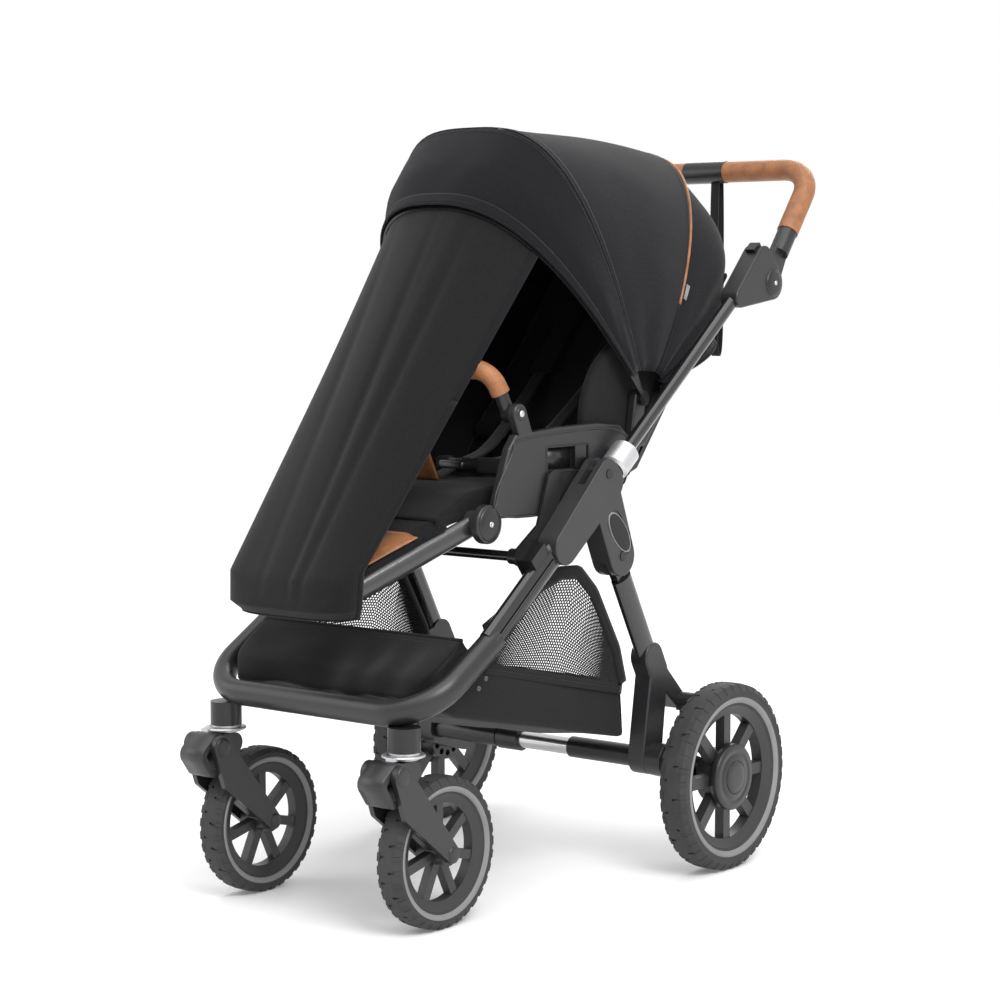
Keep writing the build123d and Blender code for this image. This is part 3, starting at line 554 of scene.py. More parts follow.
def bow_line(name):
    """The line of a canopy bow."""
    degrees, reach, power = BOWS[name]
    return in_plane(arch(CANOPY_X, reach, power, ARCH_LOW), CANOPY_PIVOT, degrees)


def between(first, second, count):
    """Rows of points from one line to another."""
    return [[a.lerp(b, share) for a, b in zip(first, second)] for share in shares(count)]


def crown(u):
    """1 over the top of an arch, 0 at its feet."""
    return math.sin(math.pi * u)


REAR_LIFT = 9.0


def wrinkles(u, v, pulls):
    """Small uneven pulls that run from one bow to the next and fade out at both."""
    warp = u + 0.03 * math.sin(5.0 * v + 9.0 * u)
    uneven = 0.6 + 0.4 * math.sin(13.0 * u + 1.0)
    fine = math.sin(pulls * warp + 2.0 * v) + 0.6 * math.sin(1.7 * pulls * warp - 3.0 * v)
    return fine * uneven * math.sin(math.pi * v)


def visor_height(u, v):
    """The peak of the canopy: full in the middle, drawn in at its hem."""
    full = 9.0 * math.sin(math.pi * min(1.0, 0.25 + 0.75 * v)) * crown(u) ** 0.5
    hem = -0.8 * bump_at(v, 0.14, 0.03)
    return full * eased_step(v, 0.0, 0.5) + hem + 0.7 * wrinkles(u, v, 46.0)


def main_height(u, v):
    """The main cloth: full between its bows, folded near their feet."""
    full = 10.0 * math.sin(math.pi * v) * crown(u) ** 0.4
    foot = 1 - crown(u) ** 0.35
    folds = 2.2 * foot * (math.sin(3.2 * math.pi * v + 5 * u) - 1) * math.sin(math.pi * v)
    lift = REAR_LIFT * eased_step(v, 0.3, 1.0) * crown(u) ** 0.5
    return full + lift + folds + 0.9 * wrinkles(u, v, 40.0)


def back_height(u, v):
    """The cloth behind the rear bow, slack and creased towards its lower edge."""
    side = 1 - crown(u) ** 2
    low = eased_step(v, 0.25, 0.8)
    folds = 4.2 * side * low * math.sin(7 * math.pi * v + 16 * abs(u - 0.5))
    cross = 2.0 * side * low * math.sin(4 * math.pi * v - 30 * abs(u - 0.5))
    soft = 1.8 * math.sin(11 * u + 5 * v) * math.sin(math.pi * v)
    lift = REAR_LIFT * (1 - eased_step(v, 0.0, 0.9)) * crown(u) ** 0.5
    return folds + cross + soft + lift + 5.0 * math.sin(math.pi * v) * crown(u)


CLOTH_THICK = 1.6
PANELS = {
    "visor": (("front", "mid"), 21, visor_height),
    "main_panel": (("mid", "rear"), 41, main_height),
    "back_panel": (("rear", "back", "skirt"), 41, back_height),
}
canopy_rows = {}
canopy = {}
for panel, (bows, count, height) in PANELS.items():
    lines = [bow_line(name) for name in bows]
    columns = [curve_through(list(column), count) for column in zip(*lines)]
    rows = raised([list(row) for row in zip(*columns)], height)
    canopy_rows[panel] = rows
    canopy[panel] = layer("canopy_" + panel + "_cloth", rows, BLACK_CLOTH, None, CLOTH_THICK, 1.0)

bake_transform(canopy["visor"])
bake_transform(canopy["main_panel"])
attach(canopy["back_panel"], "seat")
for panel, piece in canopy.items():
    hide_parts("canopy_" + panel)


def row_at(rows, v):
    """A line across a grid of rows at a share of its length."""
    place = v * (len(rows) - 1)
    k = min(int(place), len(rows) - 2)
    return [a.lerp(b, place - k) for a, b in zip(rows[k], rows[k + 1])]


def lifted(rows, v, height):
    """A line across a grid at a share of its length, lifted off the cloth."""
    return row_at(raised(rows, lambda u, w: height), v)


def strip_rows(rows, first, last, lift, count):
    """Rows of a strip that follows a grid between two shares of its length, lifted off it."""
    up = raised(rows, lambda u, w: lift)
    return [row_at(up, first + (last - first) * share) for share in shares(count)]


def tape_over(name, last, rows, body):
    """A sewn-on tape of cloth from the first edge of a grid to a share of its length."""
    layer(name, strip_rows(rows, 0.0, last, 1.0, 5), BLACK_CLOTH, body, 1.0)


PIPING_FOOT = 9
visor_rows, main_rows, back_rows = (canopy_rows[name] for name in PANELS)
tape_over("canopy_front_hem", 0.13, visor_rows, "canopy_front")
tape_over("canopy_seam_tape", 0.05, main_rows, "canopy_mid")
tube("canopy_front_edge", lifted(visor_rows, 0.0, 0.3), 2.0, BLACK_CLOTH, "canopy_front")
for name, rows, share, height, body in (
    ("canopy_hem_stitches", visor_rows, 0.115, 1.5, "canopy_front"),
    ("canopy_seam_front_0", visor_rows, 0.955, 0.6, "canopy_mid"),
    ("canopy_seam_front_1", visor_rows, 0.985, 0.6, "canopy_mid"),
    ("canopy_seam_rear_0", main_rows, 0.009, 1.7, "canopy_mid"),
    ("canopy_seam_rear_1", main_rows, 0.041, 1.7, "canopy_mid"),
    ("canopy_piping_stitches", main_rows, 0.978, 0.6, "seat"),
):
    stitches(name, lifted(rows, share, height), THREAD, body)
piping = lifted(back_rows, 0.0, 1.2)
tube("canopy_piping", piping[PIPING_FOOT:-PIPING_FOOT], 2.3, TAN, "seat", 10)
tube("canopy_piping_foot_l", piping[:PIPING_FOOT + 1], 1.9, BLACK_CLOTH, "seat")
tube("canopy_piping_foot_r", piping[-PIPING_FOOT - 1:], 1.9, BLACK_CLOTH, "seat")
tube("canopy_back_binding", lifted(back_rows, 1.0, 0.4), 2.6, BLACK_CLOTH, "seat")


def merged(name, pieces):
    """One mesh from several pieces, with their modifiers applied and their materials kept."""
    verts, faces, slots, materials = [], [], [], []
    for piece in pieces:
        mesh = baked(piece)
        base = len(verts)
        verts += [piece.matrix_world @ v.co for v in mesh.vertices]
        material = mesh.materials[0]
        if material not in materials:
            materials.append(material)
        for polygon in mesh.polygons:
            faces.append(tuple(base + k for k in polygon.vertices))
            slots.append(materials.index(material))
    for piece in pieces:
        bpy.data.objects.remove(piece)
    result = add_mesh(name, verts, faces, materials[0], None)
    for material in materials[1:]:
        result.data.materials.append(material)
    for polygon, slot in zip(result.data.polygons, slots):
        polygon.material_index = slot
    return result


# Sun cover from the canopy's front edge down to the leg rest

COVER_IN, COVER_THICK, COVER_EDGE = 2.4, 1.2, 0.035
COVER_TOP_LOW = 285.0
FRONT_BOW_X, FRONT_BOW_DROP = 186.2, 7.0
COVER_SECTIONS = [
    # base point, direction of the bulge, half width, bulge, power
    ((-84.0, 487.0), 200.0, 113.0, 49.0, 3.4),
    ((-86.0, 440.0), 186.0, 111.0, 48.0, 3.4),
    ((-78.0, 424.0), 183.0, 100.0, 42.0, 3.0),
]
COVER_SPLIT = 0.48
front_degrees, front_reach, front_power = BOWS["front"]
cover_top = in_plane(
    arch(FRONT_BOW_X - COVER_IN, front_reach - FRONT_BOW_DROP - COVER_IN, front_power, COVER_TOP_LOW),
    CANOPY_PIVOT,
    front_degrees,
)
cover_lines = [cover_top]
for base, degrees, half, rise, power in COVER_SECTIONS:
    cover_lines.append(in_plane(arch(half, rise, power, 1.0), base, degrees))


def cover_fold(u, v):
    """Long soft folds down the cover, and the seam line near its middle."""
    fan = 1.8 * math.sin(9.0 * u + 1.5 * v) + 1.3 * math.sin(23.0 * u - 2.0 * v)
    creases = 3.0 * bump_at(u, 0.30 + 0.05 * v, 0.022) - 2.6 * bump_at(u, 0.36 + 0.05 * v, 0.03)
    creases += 2.6 * bump_at(u, 0.46 - 0.03 * v, 0.02) + 2.0 * bump_at(u, 0.68 - 0.06 * v, 0.03)
    return (fan + creases) * math.sin(math.pi * min(0.8, 0.08 + v))


def cover_panel(name, rows, hemmed):
    """A cover panel with bound and sewn side edges, and a hem where it ends, as one piece."""
    body = layer(name + "_body", rows, COVER_CLOTH, None, COVER_THICK)
    body.modifiers["thickness"].use_rim = False
    parts = [body]
    columns = [list(column) for column in zip(*rows)]
    for edge, (first, last) in enumerate(((0.0, COVER_EDGE), (1.0, 1.0 - COVER_EDGE))):
        for face, lift in enumerate((1.2, -1.2)):
            strip = strip_rows(columns, first, last, lift, 4)
            part_name = name + "_edge" + str(edge * 2 + face)
            parts.append(layer(part_name, strip, BLACK_CLOTH, None, COVER_THICK))
    for k, share in enumerate((0.03, 0.97)):
        parts.append(stitches(name + "_sewn" + str(k), lifted(columns, share, -1.9), THREAD, None))
    if hemmed:
        parts.append(tube(name + "_hem", rows[-1], 2.2, BLACK_CLOTH, None))
    return merged(name, parts)


cover_rows = raised(between(cover_lines[0], cover_lines[1], 51), cover_fold)
split_row = round(COVER_SPLIT * 50)
upper_rows = cover_rows[:split_row + 1]
lower_rows = cover_rows[split_row:] + between(cover_rows[-1], cover_lines[2], 7)[1:]
lower_rows += between(cover_lines[2], cover_lines[3], 5)[1:]
upper_cover = cover_panel("sun_cover_upper_cloth", upper_rows, False)
lower_cover = cover_panel("sun_cover_lower_cloth", lower_rows, True)
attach(upper_cover, "canopy_front")
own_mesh(upper_cover)
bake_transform(lower_cover)
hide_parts("sun_cover_upper")
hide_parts("sun_cover_lower")

# Basket: a soft tub with a front panel, side nets and bindings

TUB_HALF = 183.0
TUB_BOTTOM = [(34.0, 388.0), (-38.0, 342.0), (-50.0, 316.0), (30.0, 284.0), (404.0, 204.0), (396.0, 290.0)]
TUB_TOP = [(34.0, 388.0), (50.0, 372.0), (66.0, 358.0), (80.0, 346.0), (398.0, 276.0), (396.0, 290.0)]
TUB_RUNS = [6, 4, 6, 30, 10]
NET_LOW = [(78.0, 346.0), (250.0, 308.0), (398.0, 276.0)]
NET_HIGH = [
    (80.0, 396.0), (170.0, 436.0), (250.0, 460.0), (292.0, 458.0), (330.0, 424.0), (384.0, 336.0),
    (400.0, 284.0),
]
NET_ACROSS, NET_UP, NET_STRAND, NET_DENT = 126, 58, 2.4, 5.0
# Corners of a honeycomb cell about its middle, in steps of the net
HONEYCOMB = ((0, 2), (1, 1), (1, -1), (0, -2), (-1, -1), (-1, 1))
TUB_SAG = 12.0
HOOP_FOOT, HOOP_SLOPE, HOOP_STRAIGHT = 51.8, 31.0, 67.0
HOOP_BEND_X, HOOP_INNER_BEND = 129.0, 57.0


def tub_stations():
    """Matching bottom and top side-view points along the tub."""
    stations = []
    for k, count in enumerate(TUB_RUNS):
        for step in range(count):
            ends = slice(k, k + 2)
            stations.append([mixed_point(*line[ends], step / count) for line in (TUB_BOTTOM, TUB_TOP)])
    stations.append([TUB_BOTTOM[-1], TUB_TOP[-1]])
    return stations


SIDE_STEPS, FLOOR_STEPS = 8, 36


def tub_half(y):
    """Half width of the tub, drawn in where the front hoop bends round it."""
    past = (HOOP_FOOT - y) / math.cos(math.radians(HOOP_SLOPE)) - HOOP_STRAIGHT
    if past <= 0:
        return TUB_HALF
    return min(TUB_HALF, HOOP_BEND_X + math.sqrt(max(0.0, HOOP_INNER_BEND ** 2 - past ** 2)))


def tub_row(low, high, sag):
    """One cross-section of the tub, from the left top edge round the floor to the right top edge."""
    row = []
    for share in shares(SIDE_STEPS + 1)[:-1]:
        y, z = mixed_point(high, low, share)
        row.append(at(-tub_half(y) + 3 * math.sin(math.pi * share), y, z))
    for share in shares(FLOOR_STEPS + 1):
        x = tub_half(low[0]) * (2 * share - 1)
        row.append(at(x, low[0], low[1] - sag * math.sin(math.pi * share) ** 0.7))
    mirrored = [Vector((-p.x, p.y, p.z)) for p in reversed(row[:SIDE_STEPS])]
    return row + mirrored


tub_rows = []
for k, (low, high) in enumerate(tub_stations()):
    slack = eased_step(k, 10, 26) * (1 - eased_step(k, 36, 47))
    tub_rows.append(tub_row(low, high, TUB_SAG * slack))


def tub_crease(u, v):
    """Soft creases of the tub, deeper on its slack front panel."""
    front = eased_step(v, 0.0, 0.07) * (1 - eased_step(v, 0.2, 0.34))
    slack = 0.6 * math.sin(15 * u + 30 * v) + 0.5 * math.sin(41 * u - 17 * v + 2 * math.sin(9 * u))
    return 1.6 * math.sin(31 * u + 7 * v) * math.sin(math.pi * v) + 3.0 * front * slack


tub_rows = raised(tub_rows, tub_crease)
tub = smooth_out(layer("basket_tub_cloth", tub_rows, BASKET_CLOTH, None, 2.4))
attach(tub, "chassis")
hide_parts("basket_tub")
front_top = [at(TUB_HALF * (2 * share - 1), *TUB_TOP[0]) for share in shares(62)]
tube("basket_front_binding", front_top, 3.0, BASKET_CLOTH, "chassis")
front_sewn = [p + Vector((0, -10.0, -5.5)) * MM for p in front_top]
stitches("basket_front_stitches", front_sewn, THREAD, "chassis")


def net_panel(name, side):
    """The side net between the tub's edge and the upper binding: honeycomb mesh of thin strands."""
    verts, faces = [], []
    place = {}

    def spot(i, j):
        if (i, j) not in place:
            u, v = i / NET_ACROSS, j / (2 * NET_UP)
            y, z = mixed_point(polyline(NET_LOW, u), polyline(NET_HIGH, u), v)
            dent = NET_DENT * math.sin(math.pi * u) * math.sin(math.pi * v)
            place[i, j] = len(verts)
            verts.append(at(side * (TUB_HALF + 0.9 - dent), y, z))
        return place[i, j]

    for r in range(2 * NET_UP // 3):
        j = 3 * r + 2
        for i in range(1 + r % 2, NET_ACROSS, 2):
            corners = [(i + a, j + b) for a, b in HONEYCOMB]
            if all(0 <= a <= NET_ACROSS and 0 <= b <= 2 * NET_UP for a, b in corners):
                faces.append(tuple(spot(a, b) for a, b in corners))
    net = add_mesh(name, verts, faces, NET_CLOTH, "chassis")
    return modify(net, "strands", "WIREFRAME", thickness=NET_STRAND * MM, use_even_offset=False)


def side_line(points, x, count):
    return [at(x, *polyline(points, share)) for share in shares(count)]


def tape(name, line, width, thick, material, body):
    """A flat tape standing in the side plane along a line."""
    rows = []
    for point, (ahead, _, _) in zip(line, frames_along(line)):
        up = X_AXIS.cross(ahead).normalized()
        rows.append([point + up * (width * MM * (share - 0.5)) for share in shares(4)])
    return layer(name, rows, material, body, thick)


for side, tag in SEEN_SIDES:
    net_panel("basket_net_" + tag, side)
    edge_x = side * (TUB_HALF + 1.4)
    tape("basket_net_top_" + tag, side_line(NET_HIGH, edge_x, 60), 20.0, 1.8, BASKET_CLOTH, "chassis")
    tape("basket_net_low_" + tag, side_line(NET_LOW, edge_x, 40), 15.0, 1.8, BASKET_CLOTH, "chassis")
    stitches("basket_sewn_" + tag, side_line(NET_LOW, edge_x + side * 1.2, 40), THREAD, "chassis")
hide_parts("basket_nets")

# Padded pieces: the CAD pad, puffed up by a short cloth simulation

VOXEL = 5.0
SIM_FRAMES, SIM_PRESSURE, SIM_STIFFNESS, SIM_BENDING = 20, 4.0, 12.0, 1.0


def blow_up(piece, cap):
    """Moves the points of a mesh by a short cloth simulation under pressure, each by a cap at most."""
    sim = piece.modifiers.new("cloth", "CLOTH")
    sim.settings.use_pressure = True
    sim.settings.uniform_pressure_force = SIM_PRESSURE
    sim.settings.effector_weights.gravity = 0.0
    sim.settings.tension_stiffness = SIM_STIFFNESS
    sim.settings.compression_stiffness = SIM_STIFFNESS
    sim.settings.bending_stiffness = SIM_BENDING
    sim.point_cache.frame_start = 1
    sim.point_cache.frame_end = SIM_FRAMES
    for moment in range(1, SIM_FRAMES + 1):
        bpy.context.scene.frame_set(moment)
    blown = baked(piece)
    piece.modifiers.clear()
    bpy.context.scene.frame_set(1)
    for vertex, moved in zip(piece.data.vertices, blown.vertices):
        shift = moved.co - vertex.co
        if shift.length > cap * MM:
            shift *= cap * MM / shift.length
        vertex.co += shift


def puffed(node_name, body, cap):
    """The pad of a node blown up a little, with the movement of every point capped."""
    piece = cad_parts[node_name].copy()
    piece.data = piece.data.copy()
    piece.name = node_name + "_stuffed"
    for key in list(piece.keys()):
        del piece[key]
    piece.modifiers.clear()
    piece.parent = None
    piece.hide_render = False
    bpy.context.scene.collection.objects.link(piece)
    piece.data.materials.clear()
    piece.data.materials.append(SEAT_CLOTH)
    even = baked(modify(piece, "remesh", "REMESH", mode="VOXEL", voxel_size=VOXEL * MM))
    piece.modifiers.clear()
    piece.data = even
    blow_up(piece, cap)
    smooth_out(finished(piece, body))
    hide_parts(node_name)
    return piece


puffed("seat_pad", "seat", 5.0)
puffed("back_pad", "seat", 6.0)
foot_cushion = puffed("footrest_pad", "footrest", 5.0)

# Harness: shoulder, waist and crotch straps with a buckle

BACK_A, BACK_DIR = (465.1, 635.9), 50.0
STRAP_WIDTH, STRAP_THICK = 25.0, 1.6


def ribbon(name, points, across, width, thick, material, body):
    """A flat strap along points, its width along one direction."""
    rows = []
    for point, (ahead, _, _) in zip(points, frames_along(points)):
        wide = (across - across.dot(ahead) * ahead).normalized()
        rows.append([point + wide * (width * MM * (share - 0.5)) for share in shares(5)])
    return layer(name, rows, material, body, thick)


def strap(name, points, across):
    """A strap of the harness."""
    ribbon(name, points, across, STRAP_WIDTH, STRAP_THICK, WEBBING, "seat")


def on_back(x, along, out):
    """A point over the back pad: along it from its foot and out from its face."""
    y, z = aimed(aimed(BACK_A, BACK_DIR, along), BACK_DIR + 90, 11.0 + out)
    return at(x, y, z)


for side, tag in SEEN_SIDES:
    shoulder = curve_through(
        [
            on_back(side * 55, 258, -4), on_back(side * 55, 240, 9), on_back(side * 55, 150, 12),
            on_back(side * 52, 70, 20), at(side * 40, 372, 628), at(side * 20, 275, 607),
        ],
        48,
    )
    strap("shoulder_strap_" + tag, shoulder, X_AXIS)
    sleeve = [p + Vector((0, -0.0008, 0.0006)) for p in shoulder[7:26]]
    sleeve = ribbon("shoulder_pad_" + tag, sleeve, X_AXIS, 46.0, 9.0, SEAT_CLOTH, "seat")
    smooth_out(sleeve, 2)
    waist = route([(148, 372, 590), (110, 330, 596), (62, 285, 602), (22, 262, 604)], 30, side)
    strap("waist_strap_" + tag, waist, Z_AXIS)
crotch = route([(0, 196, 584), (0, 204, 592), (0, 222, 599), (0, 240, 603)], 20)
strap("crotch_strap", crotch, X_AXIS)


def block(name, centre, size, material, body, bevel):
    """A rounded box."""
    mesh = bpy.data.meshes.new(name)
    shape = bmesh.new()
    bmesh.ops.create_cube(shape, size=1.0)
    bmesh.ops.scale(shape, vec=[s * MM for s in size], verts=shape.verts)
    bmesh.ops.bevel(shape, geom=shape.edges[:], offset=bevel * MM, segments=3, affect="EDGES", profile=0.5)
    bmesh.ops.translate(shape, vec=centre, verts=shape.verts)
    shape.to_mesh(mesh)
    shape.free()
    mesh.materials.append(material)
    return finished(link(name, mesh), body)


buckle = block("harness_buckle", at(0, 252, 605), (48, 52, 16), DARK, "seat", 6.0)
block("buckle_button", at(0, 250, 613.5), (24, 24, 4), GREY, "seat", 1.8)
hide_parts("harness")

# Wrist strap: a loop of webbing that hangs from the middle of the handlebar

WRIST_X, WRIST_WIDTH, WRIST_THICK = 20.0, 15.0, 1.8
WRIST_ROUTE = [
    (881, 1034), (879, 1000), (878, 880), (879, 768), (887, 745), (895, 768), (896, 880), (895, 1000),
    (893, 1034),
]


def spline_points(controls):
    """Points along an open spline with a few control points."""
    data = bpy.data.curves.new("strap_route", "CURVE")
    data.dimensions = "3D"
    data.resolution_u = 12
    spline = data.splines.new("NURBS")
    spline.points.add(len(controls) - 1)
    for knot, point in zip(spline.points, controls):
        knot.co = (*point, 1.0)
    spline.order_u = 3
    spline.use_endpoint_u = True
    wire = link("strap_route", data)
    bpy.context.view_layer.update()
    points = [v.co.copy() for v in baked(wire).vertices]
    bpy.data.objects.remove(wire)
    return points


wrist_line = spline_points([at(WRIST_X, y, z) for y, z in WRIST_ROUTE])
wrist_strap = ribbon(
    "wrist_strap_loop", wrist_line, X_AXIS, WRIST_WIDTH, WRIST_THICK, WEBBING, "handlebar",
)
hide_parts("wrist_strap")

# Wheel trim: pale sidewall stripes, and tread lugs on the tyre shoulders

WHEELS = [
    # name, axle point, tyre width, count of lugs, (radius, out) points of the stripe
    (
        "front", (FRONT_X, 0.0, FRONT_R), FRONT_WIDTH, 34,
        [(83.0, 16.0), (83.4, 16.9), (88.0, 19.3), (90.2, 19.6), (90.6, 18.7)],
    ),
    (
        "rear", (REAR_X, REAR_Y, REAR_R), REAR_WIDTH, 44,
        [(110.0, 18.9), (110.4, 19.8), (114.0, 22.1), (118.6, 22.4), (119.0, 21.5)],
    ),
]
LUG_SUNK = 1.6


def wheel_ring(name, centre, side, profile, material, body, count=96):
    """A ring about an axle from (radius, out) points, out being away from the stroller's middle."""
    rows = []
    for radius, out in profile:
        rows.append(ring_points(centre + X_AXIS * (side * out * MM), Y_AXIS, Z_AXIS, radius * MM, count))
    return grid(name, rows, material, body, closed=True)


def tread_lugs(name, centre, radius, half, count, body):
    """Blocks over both shoulders of a tyre, long and short in turn, as one piece."""
    verts, faces = [], []
    for face in (1, -1):
        for k in range(count):
            reach = 0.40 if k % 2 else 0.52
            high = [
                (0.905 * radius, 0.99 * half), (0.925 * radius, half + 1.2),
                (0.985 * radius + 0.8, 0.76 * half + 1.1), (radius - 0.1, reach * half),
            ]
            sunk = [(r - LUG_SUNK, out - LUG_SUNK) for r, out in high]
            turn = 2 * math.pi * (k + 0.5 * (face < 0)) / count
            wide = 2 * math.pi / count
            base = len(verts)
            for share, line in ((-0.33, sunk), (-0.28, high), (0.28, high), (0.33, sunk)):
                angle = turn + share * wide
                for r, out in line:
                    radial = Vector((0, math.cos(angle), math.sin(angle))) * (r * MM)
                    verts.append(centre + radial + X_AXIS * (face * out * MM))
            for c in range(3):
                for r in range(3):
                    a = base + c * 4 + r
                    faces.append((a, a + 1, a + 5, a + 4))
    return add_mesh(name, verts, faces, TYRE, body, False)


for axle, (x, y, z), width, lugs, stripe in WHEELS:
    for side, tag in SIDES:
        hub = at(side * x, y, z)
        body = axle + "_wheel_" + tag
        for face, label in ((1, "out"), (-1, "in")):
            wheel_ring("_".join((axle, "stripe", label, tag)), hub, side * face, stripe, STRIPE, body)
        tread_lugs(axle + "_tread_" + tag, hub, z, width / 2, lugs, body)

# Caps, screws, hinge discs, caster shells, pucks and lever flanges on the hard parts

FORK_PIVOT, FORK_OUT, FORK_IN = (-102.0, 225.0), FRONT_X + 31.0, FRONT_X - 31.0
FRONT_AXLE, REAR_AXLE = (0.0, FRONT_R), (REAR_Y, REAR_R)
HINGE_X = max(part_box(name)[1][0] / MM for name in ("handle_hinge_lowers", "handle_hinge_uppers"))
SEAT_OUT, HOOP_OUT = 180.0, SIDE_X + 14.5
SWIVEL_Y, LEVER_Z = -65.0, 245.2
CAPS = [
    # name, body, middle, distance out or, if it faces inward, its negative, radius, rise, dish, material
    ("fork_cap_top_", "fork_", FORK_PIVOT, FORK_OUT, 13.0, 1.4, 0.5, GREY),
    ("fork_cap_axle_", "fork_", FRONT_AXLE, FORK_OUT, 10.5, 1.4, 0.5, GREY),
    ("fork_inner_cap_top_", "fork_", FORK_PIVOT, -FORK_IN, 13.0, 1.2, 0.4, GREY),
    ("fork_inner_cap_axle_", "fork_", FRONT_AXLE, -FORK_IN, 10.5, 1.2, 0.4, GREY),
    ("leg_rest_cap_", "seat", FOOT_PIVOT, SEAT_OUT, 23.0, 1.8, 0.8, DARK),
    ("bumper_button_", "seat", BUMPER_PIVOT, SEAT_OUT, 9.0, 1.2, 0.6, DARK),
    ("bumper_button_top_", "seat", BUMPER_PIVOT, SEAT_OUT + 1.4, 4.6, 1.6, 0.5, SILVER),
    ("hub_cap_", "rear_wheel_", REAR_AXLE, REAR_X + 23.6, 23.0, 0.9, 0.6, GREY),
    ("hinge_disc_", "push_arms", HANDLE_PIVOT, HINGE_X, 21.0, 1.8, 0.8, DARK),
]
SCREWS = [
    # name, body, middle, distance out, radius, material
    ("leg_rest_screw_", "seat", FOOT_PIVOT, SEAT_OUT + 2.4, 4.2, STEEL),
    ("hinge_screw_", "push_arms", HANDLE_PIVOT, HINGE_X + 2.4, 3.6, STEEL),
    ("hoop_screw_0_", "chassis", (26.0, 328.0), HOOP_OUT, 3.6, GUNMETAL),
    ("hoop_screw_1_", "chassis", (41.0, 339.6), HOOP_OUT, 3.6, GUNMETAL),
]
HEAD_CIRCLES = [((-102.0, 224.0), 18.4), ((-120.0, 214.0), 15.0), ((-109.0, 195.0), 13.0)]
HEAD_HALF = 22.3
PUCK_X, PUCK_Y, PUCK_TOP = 231.0, 504.0, 235.8
PUCK_PROFILE = [
    # radius and height above the puck's foot
    (0.5, 0.0), (12.5, 0.0), (13.7, 1.6), (13.7, 11.0), (11.6, 14.0), (11.6, 16.0), (13.7, 19.0),
    (13.7, 31.0), (11.6, 34.0), (11.6, 36.0), (13.7, 39.0), (13.7, 49.0), (12.5, 50.6), (0.5, 50.6),
]
HUB_PROFILE = [
    # radius and distance from the wheel's middle plane
    (30.0, 9.0), (47.5, 9.0), (49.0, 10.5), (49.0, 19.6), (47.4, 21.4), (36.0, 22.2), (35.0, 21.4),
    (34.0, 22.3), (25.0, 23.2),
]


def cap_profile(radius, rise, dish):
    """Profile of a round cap with a soft edge and a domed top."""
    return [
        (radius + 0.8, -0.6), (radius, rise * 0.5), (radius - 0.8, rise), (radius * 0.6, rise + dish),
        (radius * 0.02, rise + dish * 1.2),
    ]


def screw_profile(radius):
    """Profile of a small screw head with a socket."""
    return [
        (radius, -0.5), (radius, 1.0), (radius * 0.8, 1.6), (radius * 0.5, 1.6), (radius * 0.42, 0.4),
        (0.05, 0.4),
    ]


def caster_shell(name, x, body):
    """The rounded block of a caster between the tops of its fork arms."""
    rows = []
    ways = ring_points(Vector(), Y_AXIS, Z_AXIS, 1.0, 72)
    for shrink, out in ((10.0, -1.0), (1.6, -1.0), (0.0, -0.93), (0.0, 0.93), (1.6, 1.0), (10.0, 1.0)):
        row = []
        for way in ways:
            outline = []
            for spot, radius in HEAD_CIRCLES:
                outline.append(at(x + out * HEAD_HALF, *spot) + way * ((radius - shrink) * MM))
            row.append(max(outline, key=way.dot))
        rows.append(row)
    return grid(name, rows, GREY, body, closed=True)


def puck(name, x):
    """A ribbed rubber puck that the swing arm presses against the rear bracket."""
    foot = PUCK_TOP - PUCK_PROFILE[-1][1]
    rows = []
    for radius, height in PUCK_PROFILE:
        rows.append(ring_points(at(x, PUCK_Y, foot + height), X_AXIS, Y_AXIS, radius * MM, 40))
    piece = grid(name, rows, RUBBER, "rear_legs", closed=True)
    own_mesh(piece)
    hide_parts("suspension_pucks")


def flange(name, x, body):
    """The pale oval plate of a swivel lock lever around the caster stem."""
    rows = []
    for grow, z in ((-6.0, 2.0), (0.0, 2.0), (1.2, 1.0), (1.2, -1.0), (0.0, -2.0), (-6.0, -2.0)):
        row = []
        for k in range(64):
            turn = 2 * math.pi * k / 64
            reach = 27.0 + grow + 5.0 * max(0.0, -math.sin(turn)) ** 3
            row.append(at(x + reach * math.cos(turn), SWIVEL_Y + reach * math.sin(turn), LEVER_Z + z))
        rows.append(row)
    return grid(name, rows, SILVER, body, closed=True)


for side, tag in SIDES:
    caster_shell("caster_shell_" + tag, side * FRONT_X, "caster_" + tag)
    puck("puck_" + tag, side * PUCK_X)
    flange("lever_flange_" + tag, side * FRONT_X, "swivel_lever_" + tag)
    hub = at(side * REAR_X, *REAR_AXLE)
    wheel_ring("hub_disc_" + tag, hub, side, HUB_PROFILE, GREY, "rear_wheel_" + tag, 72)
    for name, body, middle, x, radius, rise, dish, material in CAPS:
        face = side if x > 0 else -side
        body += tag if body.endswith("_") else ""
        profile = cap_profile(radius, rise, dish)
        wheel_ring(name + tag, at(face * x, *middle), face, profile, material, body, 48)
    for name, body, middle, x, radius, material in SCREWS:
        wheel_ring(name + tag, at(side * x, *middle), side, screw_profile(radius), material, body, 20)

# Moulded lips of the seat sides, painted shade in their recesses, and grey strips on the frame tubes

PANEL_LIP = [
    (116, 552), (146, 634), (160, 651), (250, 658), (343, 660), (394, 655), (418, 637), (402, 586),
    (338, 553),
]
RECESS_DEEP = 6.0
RECESS_LIP = [
    (223.5, 622), (223.5, 608), (228, 603.5), (273, 603.5), (318, 603.5), (322.5, 608), (322.5, 636),
    (318, 640.5), (273, 640.5), (228, 640.5), (223.5, 636),
]


def closed_line(points, x, count):
    """Points along a closed side-view outline at one X, corners rounded by a curve."""
    corners = [at(x, *point) for point in points]
    loop = corners[-2:] + corners + corners[:3]
    fine = curve_through(loop, count * (len(loop) - 1) + 1)
    return fine[2 * count:-2 * count]


